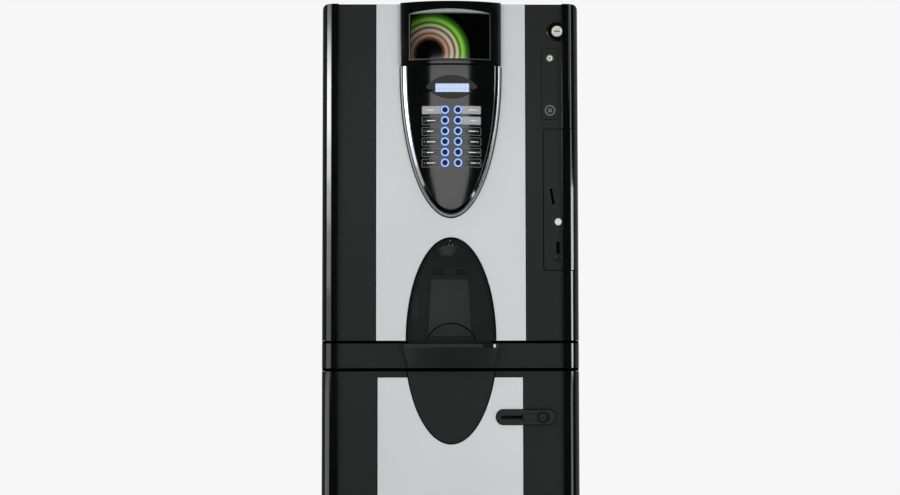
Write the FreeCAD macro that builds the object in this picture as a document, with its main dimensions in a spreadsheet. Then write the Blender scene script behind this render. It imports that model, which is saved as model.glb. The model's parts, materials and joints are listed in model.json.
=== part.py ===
"""A free-standing bean-to-cup coffee machine: a brewing unit with one tall door, on a base cabinet.

Millimetres. X to the right, Y to the back, Z up, from the middle of the footprint on the floor.
"""

import FreeCAD, Part
import math
import os
import re
import Sketcher

doc = FreeCAD.newDocument("coffee_machine")
sheet = doc.addObject("Spreadsheet::Sheet", "Sizes")

SIZES = {
    # whole machine
    "machine_width": 540,
    "machine_depth": 580,
    "face_proud": 26,
    "metal": 1.5,
    "wall": 3,
    "play": 0.3,
    "foot_height": 25,
    "foot_radius": 22,
    "foot_pad": 9,
    "foot_stem": 6,
    "foot_inset": 42,
    "cabinet_height": 898,
    "casing_inset": 3,
    "cover_metal": 2,
    "vent_half": 70,
    "vent_drop": 160,
    "vent_height": 5,
    "vent_pitch": 14,
    "vent_rows": 8,
    # doors and band
    "seam": 6,
    "band_height": 51,
    "band_lap": 10,
    "door_height": 707,
    "door_depth": 38,
    "door_gap": 11,
    "cabinet_door_low": 46,
    "cabinet_door_drop": 1,
    "pillar_radius": 28,
    "pillar_proud": 4,
    "pillar_width": 36,
    "satin_step": 1.2,
    # hinges
    "hinge_stand": 5,
    "hinge_inset": 4.5,
    "hinge_end": 110,
    "knuckle_radius": 4.2,
    "knuckle_height": 22,
    "pin_radius": 3,
    "pin_play": 0.05,
    "leaf_metal": 2.5,
    "leaf_length": 30,
    # silver panel and oval
    "silver_half": 155.8,
    "oval_shift": 1,
    "oval_half_width": 94.6,
    "oval_half_height": 216,
    "bay_frame_wall": 8,
    "bay_frame_crown": 12,
    # cup bay
    "flap_gap": 4,
    "flap_metal": 3,
    "flap_proud": 1,
    "flap_pin_drop": 12,
    "flap_pin_back": 2,
    "flap_pin_radius": 1.2,
    "flap_knuckle": 2.6,
    "flap_hinge_half": 12,
    "flap_lug": 5.5,
    "flap_crown_half": 28,
    "scoop_radius": 55.6,
    "scoop_drop": 20,
    "scoop_depth": 0.8,
    "bay_half": 100,
    "bay_depth": 145,
    "bay_height": 286,
    "splash_half": 45,
    "splash_height": 110,
    "splash_rise": 23,
    "sensor_half": 40,
    "sensor_height": 19,
    "sensor_depth": 12,
    "nozzle_radius": 27,
    "nozzle_height": 35,
    "nozzle_shift": 6,
    "nozzle_back": 74,
    "spout_radius": 3.2,
    "spout_pitch": 8,
    "spout_length": 12,
    # header and screen
    "header_half": 105.4,
    "header_shift": 0.8,
    "header_height": 132,
    "header_bow": 16,
    "screen_half": 83,
    "screen_shift": 1,
    "screen_height": 94,
    "screen_drop": 23,
    "screen_depth": 14,
    "screen_sink": 0.8,
    "wire_half": 50,
    "wire_low": 35,
    "wire_high": 105,
    # control shield
    "shield_half": 105.3,
    "shield_length": 306.3,
    "shield_drop": 143.5,
    "shield_seam": 2,
    "rim_width": 13,
    "rim_proud": 12,
    "panel_proud": 24,
    "panel_bow": 12,
    "pocket_skin": 7,
    "pocket_low": 82,
    "pocket_height": 202,
    "display_half": 35,
    "display_height": 18.4,
    "display_drop": 38.3,
    "display_shift": 3.9,
    "display_sink": 2.4,
    "display_flange": 5.5,
    "board_stand": 9,
    "board_half": 46,
    "board_metal": 1.6,
    "button_radius": 7,
    "button_travel": 2,
    "button_proud": 1.6,
    "button_edge": 0.6,
    "button_flange": 1.3,
    "button_flange_metal": 1,
    "button_pitch": 22.1,
    "button_columns": 27,
    "button_shift": 2.2,
    "button_drop": 85.1,
    "collar_wall": 2,
    "collar_proud": 1.2,
    # payment side of the door
    "coin_low": 147,
    "coin_high": 442,
    "coin_inset_in": 74.4,
    "coin_inset_out": 13,
    "coin_metal": 0.8,
    "slot_inset": 57.1,
    "slot_rise": 301,
    "slot_length": 33.2,
    "slot_width": 6,
    "slot_lean": 5.9,
    "return_inset": 44.6,
    "return_rise": 247.8,
    "return_radius": 7.3,
    "return_proud": 2.4,
    "return_travel": 3,
    "lever_inset": 45.2,
    "lever_rise": 173.2,
    "lever_slot": 7.5,
    "lever_knob": 7.6,
    "lever_knob_depth": 5.4,
    "lever_stem": 4,
    "lever_travel": 28,
    "lever_play": 0.5,
    "keeper_metal": 2.5,
    "lock_inset": 45.8,
    "lock_drop": 57.7,
    "lock_radius": 11.1,
    "lock_length": 24,
    "lock_play": 0.06,
    "lock_boss": 21,
    "lock_boss_proud": 3.2,
    "lock_head_proud": 1.2,
    "lock_shaft": 4,
    "cam_length": 32,
    "cam_half": 6,
    "cam_metal": 3,
    "strike_width": 15,
    "strike_height": 70,
    "mech_gap": 13,
    "mech_depth": 72,
    "mech_inset_in": 72.4,
    "mech_inset_out": 19,
    # drip tray
    "tray_half": 84,
    "tray_length": 175,
    "tray_wall": 2,
    "tray_side": 3,
    "tray_drop": 4,
    "tray_rib": 20,
    "tray_front_high": 101,
    "tray_front_low": 88,
    "tray_front_proud": 24,
    "tray_front_bow": 16,
    "tray_front_seam": 1,
    "runner_out": 80,
    "runner_in": 70,
    "grille_metal": 3,
    "grille_sink": 1,
    "grille_slot": 6,
    "grille_pitch": 13,
    "grille_slots": 12,
    "grille_first": 11,
    "grille_border": 12,
    # cabinet door
    "inlay_half": 150.8,
    "inlay_shift": 0.7,
    "inlay_margin": 12.8,
    "inlay_metal": 1.2,
    "crest_proud": 2,
    "crest_short": 3,
    "crest_reach": 148,
    "handle_inset": 113.6,
    "handle_rise": 802,
    "handle_length": 122,
    "handle_height": 30,
    "handle_proud": 5,
    "handle_floor": 0.8,
    "finger_inset": 165.5,
    "finger_half": 3.8,
    "grip_inset": 120,
    "grip_half": 6,
    "grip_metal": 4,
    "grip_play": 1,
    "hub_inset": 79.7,
    "hub_radius": 11,
    "hub_proud": 1,
    "hub_swing_room": 4,
    "lever_pin_in": 2,
    "lever_pin_back": 3,
    "lever_pin_radius": 1.5,
    "lever_pin_half": 10.5,
    "key_radius": 9,
    "key_proud": 1.5,
    # the works above
    "plate_y": 60,
    "hopper_inset": 140,
    "hopper_half": 95,
    "hopper_throat": 30,
    "hopper_front": 160,
    "hopper_height": 150,
    "hopper_funnel": 45,
    "hopper_drop": 8,
    "grinder_radius": 48,
    "grinder_height": 130,
    "burr_height": 50,
    "bracket_half": 20,
    "chute_half": 10,
    "brewer_inset": 90,
    "brewer_half": 55,
    "brewer_depth": 120,
    "brewer_rise": 95,
    "brewer_height": 240,
    "chamber_radius": 22,
    "chamber_window": 12,
    "brewer_funnel": 24,
    "piston_play": 0.06,
    "piston_rise": 5,
    "piston_rod": 8,
    "piston_rod_length": 60,
    "piston_head": 26,
    "waste_hole_half": 40,
    "canister_inset": 83,
    "canister_pitch": 112,
    "canister_half": 49,
    "canister_depth": 190,
    "canister_drop": 20,
    "canister_height": 140,
    "canister_slope": 60,
    "trough_radius": 17,
    "auger_radius": 11,
    "auger_metal": 1.6,
    "auger_flights": 20,
    "auger_hub": 6,
    "spout_reach": 24,
    "spout_hole": 8,
    "shaft_radius": 3,
    "shaft_grip": 10,
    "shaft_play": 0.05,
    "shaft_hole": 4,
    "motor_radius": 24,
    "motor_length": 55,
    "bowl_mouth_half": 74,
    "bowl_mouth_depth": 30,
    "bowl_gap": 10,
    "bowl_slope": 62,
    "bowl_radius": 32,
    "bowl_height": 50,
    "bowl_wall": 2.5,
    "bowl_pad_half": 14,
    "bowl_pad_back": 37,
    "whisk_radius": 12,
    "whisk_depth": 8,
    "hose_radius": 6,
    "hose_bore": 4,
    "hose_bend": 40,
    "boiler_radius": 50,
    "boiler_length": 190,
    "boiler_inset": 120,
    "boiler_y": 130,
    "boiler_rise": 200,
    "boiler_arm_low": 30,
    "boiler_arm_high": 150,
    "boiler_arm_metal": 10,
    "tank_inset": 120,
    "tank_width": 100,
    "tank_depth": 70,
    "tank_height": 150,
    "tank_rise": 550,
    "pump_radius": 28,
    "pump_gap": 20,
    "pump_length": 110,
    "pump_y": 130,
    "pump_rise": 34,
    "power_inset": 20,
    "power_width": 180,
    "power_depth": 150,
    "power_height": 130,
    "inlet_half": 14,
    "inlet_height": 20,
    "inlet_rise": 50,
    "cash_inset": 15,
    "cash_width": 80,
    "cash_gap": 15,
    "cash_depth": 150,
    "cash_height": 100,
    # in the cabinet
    "bin_inset": 60,
    "bin_gap": 30,
    "bin_depth": 300,
    "bin_height": 360,
    "bin_wall": 2.5,
    "liquid_left": 30,
    "liquid_inset": 70,
    "liquid_height": 310,
    "neck_radius": 25,
    "neck_height": 20,
}


# places that follow the machine's sides and front, as formulas in the same sheet
PLACES = {
    "coin_left": "machine_width / 2 - coin_inset_in",
    "coin_right": "machine_width / 2 - coin_inset_out",
    "slot_x": "machine_width / 2 - slot_inset",
    "return_x": "machine_width / 2 - return_inset",
    "lever_x": "machine_width / 2 - lever_inset",
    "lock_x": "machine_width / 2 - lock_inset",
    "mech_left": "machine_width / 2 - mech_inset_in",
    "mech_right": "machine_width / 2 - mech_inset_out",
    "handle_x": "machine_width / 2 - handle_inset",
    "finger_left": "machine_width / 2 - finger_inset",
    "grip_left": "machine_width / 2 - grip_inset",
    "hub_x": "machine_width / 2 - hub_inset",
    "hopper_x": "machine_width / 2 - hopper_inset",
    "brewer_x": "machine_width / 2 - brewer_inset",
    "canister_x": "machine_width / 2 - canister_inset - canister_pitch",
    "boiler_x": "machine_width / 2 - boiler_inset",
    "tank_left": "machine_width / 2 - tank_inset",
    "power_left": "machine_width / 2 - power_inset - power_width",
    "pump_left": "pump_length + pump_gap - (machine_width / 2 - power_inset - power_width)",
    "cash_left": "machine_width / 2 - cash_inset - cash_width",
    "cash_front": "machine_depth / 2 - face_proud - door_depth - door_gap - cash_gap",
    "bin_left": "machine_width / 2 - bin_inset",
    "bin_width": "machine_width / 2 - bin_inset",
    "bin_front": "machine_depth / 2 - face_proud - door_depth - door_gap - bin_gap",
    "liquid_width": "machine_width / 2 - liquid_left - liquid_inset",
}


def fill_sheet():
    """Write each size in a cell of its own, under its name, and each place as a formula under them."""
    formulas = {name: f"={text}" for name, text in PLACES.items()}
    for row, (name, value) in enumerate({**SIZES, **formulas}.items(), 1):
        sheet.setAlias(f"B{row}", name)
        sheet.set(f"A{row}", name)
        sheet.set(f"B{row}", str(value))

fill_sheet()
doc.recompute()

# planes and levels, each worked out from the sheet
FACE = "(face_proud - machine_depth / 2)"
CROWN = f"({FACE} - face_proud)"
BACK = "(machine_depth / 2)"
SATIN = f"({FACE} + satin_step)"
WALL_BACK = f"({SATIN} + wall)"
PILLAR_FACE = f"({FACE} - pillar_proud)"
DOOR_BACK = f"({FACE} + door_depth)"
CASING_FRONT = f"({DOOR_BACK} + door_gap)"
PILLAR_Y = f"({PILLAR_FACE} + pillar_radius)"
SIDE = "(machine_width / 2)"
PILLAR_X = f"({SIDE} - pillar_radius)"
PILLAR_IN = f"({SIDE} - pillar_width)"
CASING_SIDE = f"({SIDE} - casing_inset)"
CASING_IN = f"({CASING_SIDE} - metal)"
HINGE_X = f"(hinge_inset - {SIDE})"
HINGE_Y = f"({DOOR_BACK} + hinge_stand)"
BAND_LOW = "(cabinet_height + seam)"
BAND_HIGH = f"({BAND_LOW} + band_height)"
DOOR_LOW = f"({BAND_HIGH} + seam)"
DOOR_HIGH = f"({DOOR_LOW} + door_height)"
COVER_LOW = f"({DOOR_HIGH} - 2 * cover_metal)"
FLOOR_TOP = "(cabinet_height + metal)"
CABINET_DOOR_HIGH = "(cabinet_height - cabinet_door_drop)"
CABINET_FLOOR = "(foot_height + metal)"

SHIELD_Z = f"({DOOR_HIGH} - shield_drop)"
SHIELD_TOP = f"({DOOR_HIGH} - header_height - shield_seam)"
PANEL_FRONT = f"({FACE} - panel_proud)"
POCKET_BACK = f"({PANEL_FRONT} + pocket_skin)"
POCKET_LOW = f"({SHIELD_Z} - shield_length + pocket_low)"
POCKET_HIGH = f"({POCKET_LOW} + pocket_height)"
BOARD_Y = f"({POCKET_BACK} + board_stand)"
LOCK_SPOT = ("lock_x", f"({DOOR_HIGH} - lock_drop)")
COIN_Z = (f"({DOOR_LOW} + coin_low)", f"({DOOR_LOW} + coin_high)")
SLOT_Z = f"({DOOR_LOW} + slot_rise)"
LEVER_Z = f"({DOOR_LOW} + lever_rise)"

FLAP_BACK = f"({FACE} - flap_proud)"
FLAP_FRONT = f"({FLAP_BACK} - flap_metal)"
FLAP_PIN_Y = f"({FACE} + flap_pin_back)"
FLAP_PIN_Z = f"({DOOR_LOW} + oval_half_height - flap_pin_drop)"
BAY_BACK = f"({CASING_FRONT} + bay_depth)"
BAY_TOP = f"({FLOOR_TOP} + bay_height)"
NOZZLE_X = "(-nozzle_shift)"
NOZZLE_Y = f"({CASING_FRONT} + nozzle_back)"
NOZZLE_TOP = f"({BAY_TOP} - wall)"

TRAY_LOW = f"({BAND_LOW} + wall + play)"
TRAY_TOP = f"({BAND_HIGH} - tray_drop)"
TRAY_BACK = f"({WALL_BACK} + tray_length)"
GRILLE_TOP = f"({TRAY_TOP} - grille_sink)"
GRILLE_LOW = f"({GRILLE_TOP} - grille_metal)"

HANDLE_FACE = f"({FACE} - handle_proud)"
LEVER_PIN = (f"(hub_x + hub_radius - lever_pin_in)", f"({HANDLE_FACE} + lever_pin_back)")

HOPPER_X = "(-hopper_x)"
HOPPER_Y = "((plate_y - hopper_front) / 2)"
HOPPER_HIGH = f"({COVER_LOW} - hopper_drop)"
HOPPER_LOW = f"({HOPPER_HIGH} - hopper_height)"
GRINDER_HIGH = f"({HOPPER_LOW} - hopper_funnel)"
BURR_LOW = f"({GRINDER_HIGH} - burr_height)"
BREWER_X = "(-brewer_x)"
BREWER_Y = "(plate_y - brewer_depth / 2)"
BREWER_LOW = f"({FLOOR_TOP} + brewer_rise)"
BREWER_HIGH = f"({BREWER_LOW} + brewer_height)"
CANISTER_HIGH = f"({COVER_LOW} - canister_drop)"
CANISTER_KNEE = f"({CANISTER_HIGH} - canister_height)"
AUGER_Z = f"({CANISTER_KNEE} - canister_slope)"
CANISTER_FRONT = "(plate_y - canister_depth)"
CANISTER_SPOTS = {"left": "canister_x", "right": "(canister_x + canister_pitch)"}
BOWL_X = "(canister_x + canister_pitch / 2)"
BOWL_HIGH = f"({AUGER_Z} - trough_radius - bowl_gap)"
BOWL_NECK = f"({BOWL_HIGH} - bowl_slope)"
BOWL_LOW = f"({BOWL_NECK} - bowl_height)"
WHISK_Z = f"({BOWL_NECK} - bowl_height / 2)"
WHISK_MOTOR_Y = f"({NOZZLE_Y} + bowl_pad_back)"
HOSE_LEVEL = f"({BAY_TOP} + hose_bend)"

UPRIGHT = FreeCAD.Rotation()
ALONG_X = FreeCAD.Rotation(FreeCAD.Vector(0, 1, 0), 90)
ALONG_Y = FreeCAD.Rotation(FreeCAD.Vector(1, 0, 0), -90)
FACING = FreeCAD.Rotation(FreeCAD.Vector(1, 1, 1), 240)
STANDING = FreeCAD.Rotation(FreeCAD.Vector(1, 0, 0), 90)
TURNS = {"x": ALONG_X, "y": ALONG_Y, "z": UPRIGHT}


def bound(text):
    """The same expression, with every named size looked up in the sheet."""

    def look_up(word):
        named = word.group() in SIZES or word.group() in PLACES
        return f"Sizes.{word.group()}" if named else word.group()

    return re.sub(r"[a-z_]+", look_up, str(text))


def new(kind, links):
    """A document object whose properties follow the sheet."""
    thing = doc.addObject(kind, kind.split("::")[1])
    for name, text in links.items():
        thing.setExpression(name, bound(text))
    return thing


def at(thing, x, y, z, turn=UPRIGHT):
    """Place an object by expressions, turned one of a few ways."""
    thing.Placement = FreeCAD.Placement(FreeCAD.Vector(), turn)
    for letter, text in zip("xyz", (x, y, z)):
        thing.setExpression(f"Placement.Base.{letter}", bound(text))
    return thing


def span(ends):
    return f"({ends[1]}) - ({ends[0]})"


def about(middle, half):
    """The two ends of a stretch, from its middle and half its length."""
    return f"({middle}) - ({half})", f"({middle}) + ({half})"


def both(ends):
    """A stretch of x on the right, and the same on the left."""
    return ends, (f"-({ends[1]})", f"-({ends[0]})")


def block(x, y, z):
    """A box between two ends on each axis."""
    thing = new("Part::Box", {"Length": span(x), "Width": span(y), "Height": span(z)})
    return at(thing, x[0], y[0], z[0])


def rod(way, radius, ends, middle):
    """A round bar along one axis; middle is its place on the other two."""
    thing = new("Part::Cylinder", {"Radius": radius, "Height": span(ends)})
    spots = {
        "x": (ends[0], *middle),
        "y": (middle[0], ends[0], middle[1]),
        "z": (*middle, ends[0]),
    }
    return at(thing, *spots[way], TURNS[way])


def cone(low_radius, high_radius, z, middle):
    thing = new("Part::Cone", {"Radius1": low_radius, "Radius2": high_radius, "Height": span(z)})
    return at(thing, *middle, z[0])


def taper(low_x, high_x, low_y, high_y, z):
    """A block whose sides lean: its ends on x and y at the bottom and at the top."""
    links = {
        "Ymin": z[0],
        "Ymax": z[1],
        "Xmin": low_x[0],
        "Xmax": low_x[1],
        "X2min": high_x[0],
        "X2max": high_x[1],
        "Zmin": f"-({low_y[1]})",
        "Zmax": f"-({low_y[0]})",
        "Z2min": f"-({high_y[1]})",
        "Z2max": f"-({high_y[0]})",
    }
    return at(new("Part::Wedge", links), 0, 0, 0, STANDING)


def bend(radius, quarter, middle, turn):
    """A quarter of a round bend, from the given quarter of its circle."""
    thing = new("Part::Torus", {"Radius1": "hose_bend", "Radius2": radius})
    thing.Angle3 = 90
    return at(thing, *middle, turn.multiply(FreeCAD.Rotation(FreeCAD.Vector(0, 0, 1), quarter)))


def ring(half_width, half_height, y, x, z):
    """An upright ellipse that faces the front."""
    thing = new("Part::Ellipse", {"MajorRadius": half_height, "MinorRadius": half_width})
    return at(thing, x, y, z, FACING)


def oval(half_width, half_height, y, x, z):
    """A thick upright elliptical plate."""
    thing = new("Part::Extrusion", {"LengthFwd": span(y)})
    thing.Base = ring(half_width, half_height, y[0], x, z)
    thing.DirMode = "Custom"
    thing.Dir = FreeCAD.Vector(0, 1, 0)
    thing.Solid = True
    return thing


def fuse(*things):
    whole = doc.addObject("Part::MultiFuse", "Fuse")
    whole.Shapes = list(things)
    whole.Refine = True
    return whole


def cut(base, *tools):
    left = doc.addObject("Part::Cut", "Cut")
    left.Base = base
    left.Tool = tools[0] if len(tools) == 1 else fuse(*tools)
    left.Refine = True
    return left


def common(one, other):
    shared = doc.addObject("Part::Common", "Common")
    shared.Base = one
    shared.Tool = other
    return shared


def group(*things):
    """Separate solids that share one node."""
    whole = doc.addObject("Part::Compound", "Group")
    whole.Links = list(things)
    return whole


def bow(half, rise, crest, z, x):
    """A tall drum that touches crest in front, and falls back by rise at half either side."""
    radius = f"((({half})^2 + ({rise})^2) / (2 * ({rise})))"
    return rod("z", radius, z, (x, f"{crest} + {radius}"))


def outline(body, role, corners):
    """A closed sketch of straight lines, each corner held by two dimensions from the sheet."""
    sketch = body.newObject("Sketcher::SketchObject", "Outline")
    plane = [part for part in body.Origin.OriginFeatures if part.Role == role][0]
    sketch.AttachmentSupport = (plane, [""])
    sketch.MapMode = "FlatFace"
    count = len(corners)
    angles = [2 * math.pi * i / count for i in range(count)]
    start = [FreeCAD.Vector(10 + 5 * math.cos(angle), 5 * math.sin(angle), 0) for angle in angles]
    for i in range(count):
        sketch.addGeometry(Part.LineSegment(start[i], start[(i + 1) % count]), False)
    for i in range(count):
        sketch.addConstraint(Sketcher.Constraint("Coincident", i, 2, (i + 1) % count, 1))
    for i, corner in enumerate(corners):
        for way, text, now in zip("XY", corner, start[i]):
            index = sketch.addConstraint(Sketcher.Constraint(f"Distance{way}", -1, 1, i, 1, now))
            name = f"{way.lower()}{i}"
            sketch.renameConstraint(index, name)
            sketch.setExpression(f"Constraints.{name}", bound(text))
    return sketch


def turned(corners, place, turn=UPRIGHT):
    """A body turned from a closed outline of (radius, height) corners."""
    body = doc.addObject("PartDesign::Body", "Body")
    sketch = outline(body, "XZ_Plane", corners)
    spin = body.newObject("PartDesign::Revolution", "Turn")
    spin.Profile = sketch
    spin.ReferenceAxis = (sketch, ["V_Axis"])
    spin.Angle = 360
    body.Tip = spin
    return at(body, *place, turn)


PARTS = {}


def keep(name, thing):
    """Give a finished sub-part its name."""
    thing.Label = name
    PARTS[name] = thing


# shapes that several sub-parts share


def moulding(z, back):
    """The black front casting: two round pillars and a flat satin wall, hollow and open at the back."""
    inner_z = (f"{z[0]} + wall", f"{z[1]} - wall")
    across = (f"-{PILLAR_X}", PILLAR_X)
    outer = [
        block((f"-{SIDE}", SIDE), (PILLAR_Y, back), z),
        block(across, (PILLAR_FACE, back), z),
    ]
    cavity = [block(across, (f"{PILLAR_FACE} + wall", PILLAR_Y), inner_z)]
    for x in (PILLAR_X, f"-{PILLAR_X}"):
        outer.append(rod("z", "pillar_radius", z, (x, PILLAR_Y)))
        cavity.append(rod("z", "pillar_radius - wall", inner_z, (x, PILLAR_Y)))
    recess = block((f"-{PILLAR_IN}", PILLAR_IN), (f"{PILLAR_FACE} - wall", SATIN), z)
    web = block(about("0", f"{PILLAR_IN} + wall"), (PILLAR_FACE, WALL_BACK), z)
    room = block(about("0", f"{SIDE} - wall"), (PILLAR_Y, f"{back} + wall"), inner_z)
    behind = block((f"-{SIDE}", SIDE), (back, f"{back} + 2 * pillar_radius"), z)
    return cut(fuse(*outer), recess, behind, fuse(cut(fuse(*cavity), web), room))


def hinge_levels(z):
    """The heights at which a door's two hinges part."""
    return f"({z[0]} + hinge_end)", f"({z[1]} - hinge_end)"


def door_hinges(door_z):
    """A door's two knuckles with their leaves, and the bores through them."""
    pieces = []
    bores = []
    for level in hinge_levels(door_z):
        z = (f"{level} + play", f"{level} + knuckle_height")
        leaf_x = (f"wall - {SIDE}", f"wall - {SIDE} + leaf_metal")
        pieces.append(rod("z", "knuckle_radius", z, (HINGE_X, HINGE_Y)))
        pieces.append(block(leaf_x, (f"{HINGE_Y} - leaf_length", HINGE_Y), z))
        bore_z = (level, f"{level} + 2 * knuckle_height")
        bores.append(rod("z", "pin_radius + pin_play", bore_z, (HINGE_X, HINGE_Y)))
    return pieces, bores


def frame_hinges(door_z):
    """The fixed halves of a door's two hinges, with the pins that the door hangs on."""
    pieces = []
    for level in hinge_levels(door_z):
        z = (f"{level} - knuckle_height", level)
        leaf_x = (f"-{CASING_IN}", f"leaf_metal - {CASING_IN}")
        barrel = rod("z", "knuckle_radius", z, (HINGE_X, HINGE_Y))
        leaf = block(leaf_x, (HINGE_Y, f"{CASING_FRONT} + leaf_length"), z)
        pin_z = (f"{level} - wall", f"{level} + knuckle_height - wall")
        pieces.append(fuse(barrel, leaf, rod("z", "pin_radius", pin_z, (HINGE_X, HINGE_Y))))
    return pieces


def half_oval(half_width, half_height, y, z):
    """The part of the front's oval between two heights."""
    whole = oval(half_width, half_height, y, "oval_shift", DOOR_LOW)
    return common(whole, block((f"-{SIDE}", SIDE), y, z))


def bay_oval(less, y, low, crown="0"):
    """The upper half of the oval, less all round and a little more at the crown."""
    high = f"{DOOR_LOW} + 2 * oval_half_height"
    return half_oval(f"oval_half_width - {less}", f"oval_half_height - {less} - {crown}", y, (low, high))


def wire_holes(y):
    """The holes behind the screen and the control panel, through the given depth."""
    x = about("header_shift", "wire_half")
    high = block(x, y, (f"{DOOR_HIGH} - wire_high", f"{DOOR_HIGH} - wire_low"))
    return [high, block(x, y, (POCKET_LOW, POCKET_HIGH))]


def payment_holes(y):
    """The coin slot, which leans to the left, the return button's hole and the lever's slot."""
    low_x = about("slot_x + slot_lean / 2", "slot_width / 2")
    high_x = about("slot_x - slot_lean / 2", "slot_width / 2")
    slot = taper(low_x, high_x, y, y, about(SLOT_Z, "slot_length / 2"))
    button = rod("y", "return_radius + play", y, ("return_x", f"{DOOR_LOW} + return_rise"))
    lever_z = (f"{LEVER_Z} - lever_stem - 1", f"{LEVER_Z} + lever_travel + lever_stem + 1")
    return [slot, button, block(about("lever_x", "lever_slot / 2"), y, lever_z)]


def key_cylinder(radius, y, spot, slot_half):
    """A lock's cylinder with a key slot in its front."""
    slot = block(about(spot[0], slot_half), (f"{y[0]} - 1", f"{y[0]} + 3"), about(spot[1], "1"))
    return cut(rod("y", radius, y, spot), slot)


def open_box(x, y, z, thick):
    """A box with walls and a floor, open at the top."""
    inner_x = (f"{x[0]} + {thick}", f"{x[1]} - {thick}")
    inner_y = (f"{y[0]} + {thick}", f"{y[1]} - {thick}")
    return cut(block(x, y, z), block(inner_x, inner_y, (f"{z[0]} + {thick}", f"{z[1]} + 1")))


# base cabinet and casing


def levelling_feet():
    """Four screw feet: a wide pad, a cone and a stem, under the cabinet's floor."""
    corners = [
        ("0", "0"),
        ("foot_radius", "0"),
        ("foot_radius", "foot_pad / 2"),
        ("foot_stem", "foot_pad + foot_stem"),
        ("foot_stem", "foot_height"),
        ("0", "foot_height"),
    ]
    feet = []
    for x in about("0", f"{SIDE} - foot_inset"):
        for y in (f"{CASING_FRONT} + foot_inset", f"{BACK} - foot_inset"):
            feet.append(turned(corners, (x, y, "0")))
    keep("levelling_feet", group(*feet))


def waste_hole(z):
    """The hole under the brew unit, for spent grounds."""
    return block(about(BREWER_X, "waste_hole_half"), about(BREWER_Y, "waste_hole_half"), z)


def cabinet_carcass():
    """The sheet-metal cabinet: sides, back, top, floor and the plinth rail under the door."""
    z = ("foot_height", "cabinet_height")
    across = about("0", CASING_SIDE)
    y = (CASING_FRONT, BACK)
    top_z = ("cabinet_height - metal", "cabinet_height")
    plates = [block(x, y, z) for x in both((CASING_IN, CASING_SIDE))]
    plates.append(block(across, (f"{BACK} - metal", BACK), z))
    plates.append(block(across, y, ("foot_height", CABINET_FLOOR)))
    plates.append(cut(block(across, y, top_z), waste_hole(("cabinet_height - 9", "cabinet_height + 9"))))
    rail_z = (CABINET_FLOOR, "cabinet_door_low - 2 * metal")
    plates.append(block(across, (CASING_FRONT, f"{CASING_FRONT} + metal"), rail_z))
    keep("cabinet_carcass", fuse(*plates))


def casing_carcass():
    """The upper casing: sides, vented back, floor, works plate, tray runners and the lock's strike."""
    z = ("cabinet_height", COVER_LOW)
    across = about("0", CASING_SIDE)
    y = (CASING_FRONT, BACK)
    plates = [block(x, y, z) for x in both((CASING_IN, CASING_SIDE))]
    plates.append(casing_back(z))
    floor = block(across, y, ("cabinet_height", FLOOR_TOP))
    plates.append(cut(floor, waste_hole(("cabinet_height - 9", "cabinet_height + 9"))))
    plate = block(across, ("plate_y", "plate_y + metal"), (FLOOR_TOP, COVER_LOW))
    through = ("plate_y - 1", "plate_y + metal + 1")
    shafts = [rod("y", "shaft_hole", through, (x, AUGER_Z)) for x in CANISTER_SPOTS.values()]
    plates.append(cut(plate, *shafts))
    for x in both(("runner_in", "runner_out")):
        plates.append(block(x, (f"{CASING_FRONT} + metal", TRAY_BACK), (FLOOR_TOP, f"{TRAY_LOW} - play")))
    strike_x = (f"{CASING_IN} - strike_width", CASING_IN)
    strike_z = about(LOCK_SPOT[1], "strike_height / 2")
    plates.append(block(strike_x, (CASING_FRONT, f"{CASING_FRONT} + metal"), strike_z))
    keep("casing_carcass", fuse(*plates))


def inlet_opening(more, y):
    x = about("power_left + power_width / 2", f"inlet_half + {more}")
    return block(x, y, about(f"{FLOOR_TOP} + inlet_rise", f"inlet_height / 2 + {more}"))


def casing_back(z):
    """The back sheet, with a row of air slots near its top and an opening for the mains inlet."""
    through = (f"{BACK} - metal - 1", f"{BACK} + 1")
    holes = [inlet_opening("play", through)]
    for row in range(SIZES["vent_rows"]):
        low = f"{COVER_LOW} - vent_drop + {row} * vent_pitch"
        holes.append(block(about("0", "vent_half"), through, (low, f"{low} + vent_height")))
    return cut(block(about("0", CASING_SIDE), (f"{BACK} - metal", BACK), z), *holes)


def casing_top():
    """The flat top cover."""
    z = (COVER_LOW, f"{COVER_LOW} + cover_metal")
    keep("casing_top", block(about("0", CASING_SIDE), (CASING_FRONT, BACK), z))


def band_moulding():
    """The fixed band between the doors, cut away in the middle for the drip tray."""
    z = (BAND_LOW, BAND_HIGH)
    laps = []
    for x in both((CASING_SIDE, SIDE)):
        laps.append(block(x, (f"{CASING_FRONT} - wall", f"{CASING_FRONT} + band_lap"), z))
    opening_y = (f"{PILLAR_FACE} - wall", f"{CASING_FRONT} + wall")
    opening_z = (f"{BAND_LOW} + wall", f"{BAND_HIGH} + wall")
    opening = block(about("0", "tray_half + tray_side"), opening_y, opening_z)
    keep("band_moulding", cut(fuse(moulding(z, CASING_FRONT), *laps), opening))


def fixed_hinges():
    """The casing's halves of all four door hinges."""
    upper = frame_hinges((DOOR_LOW, DOOR_HIGH))
    lower = frame_hinges(("cabinet_door_low", CABINET_DOOR_HIGH))
    keep("fixed_hinges", group(*upper, *lower))


# upper door


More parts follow.
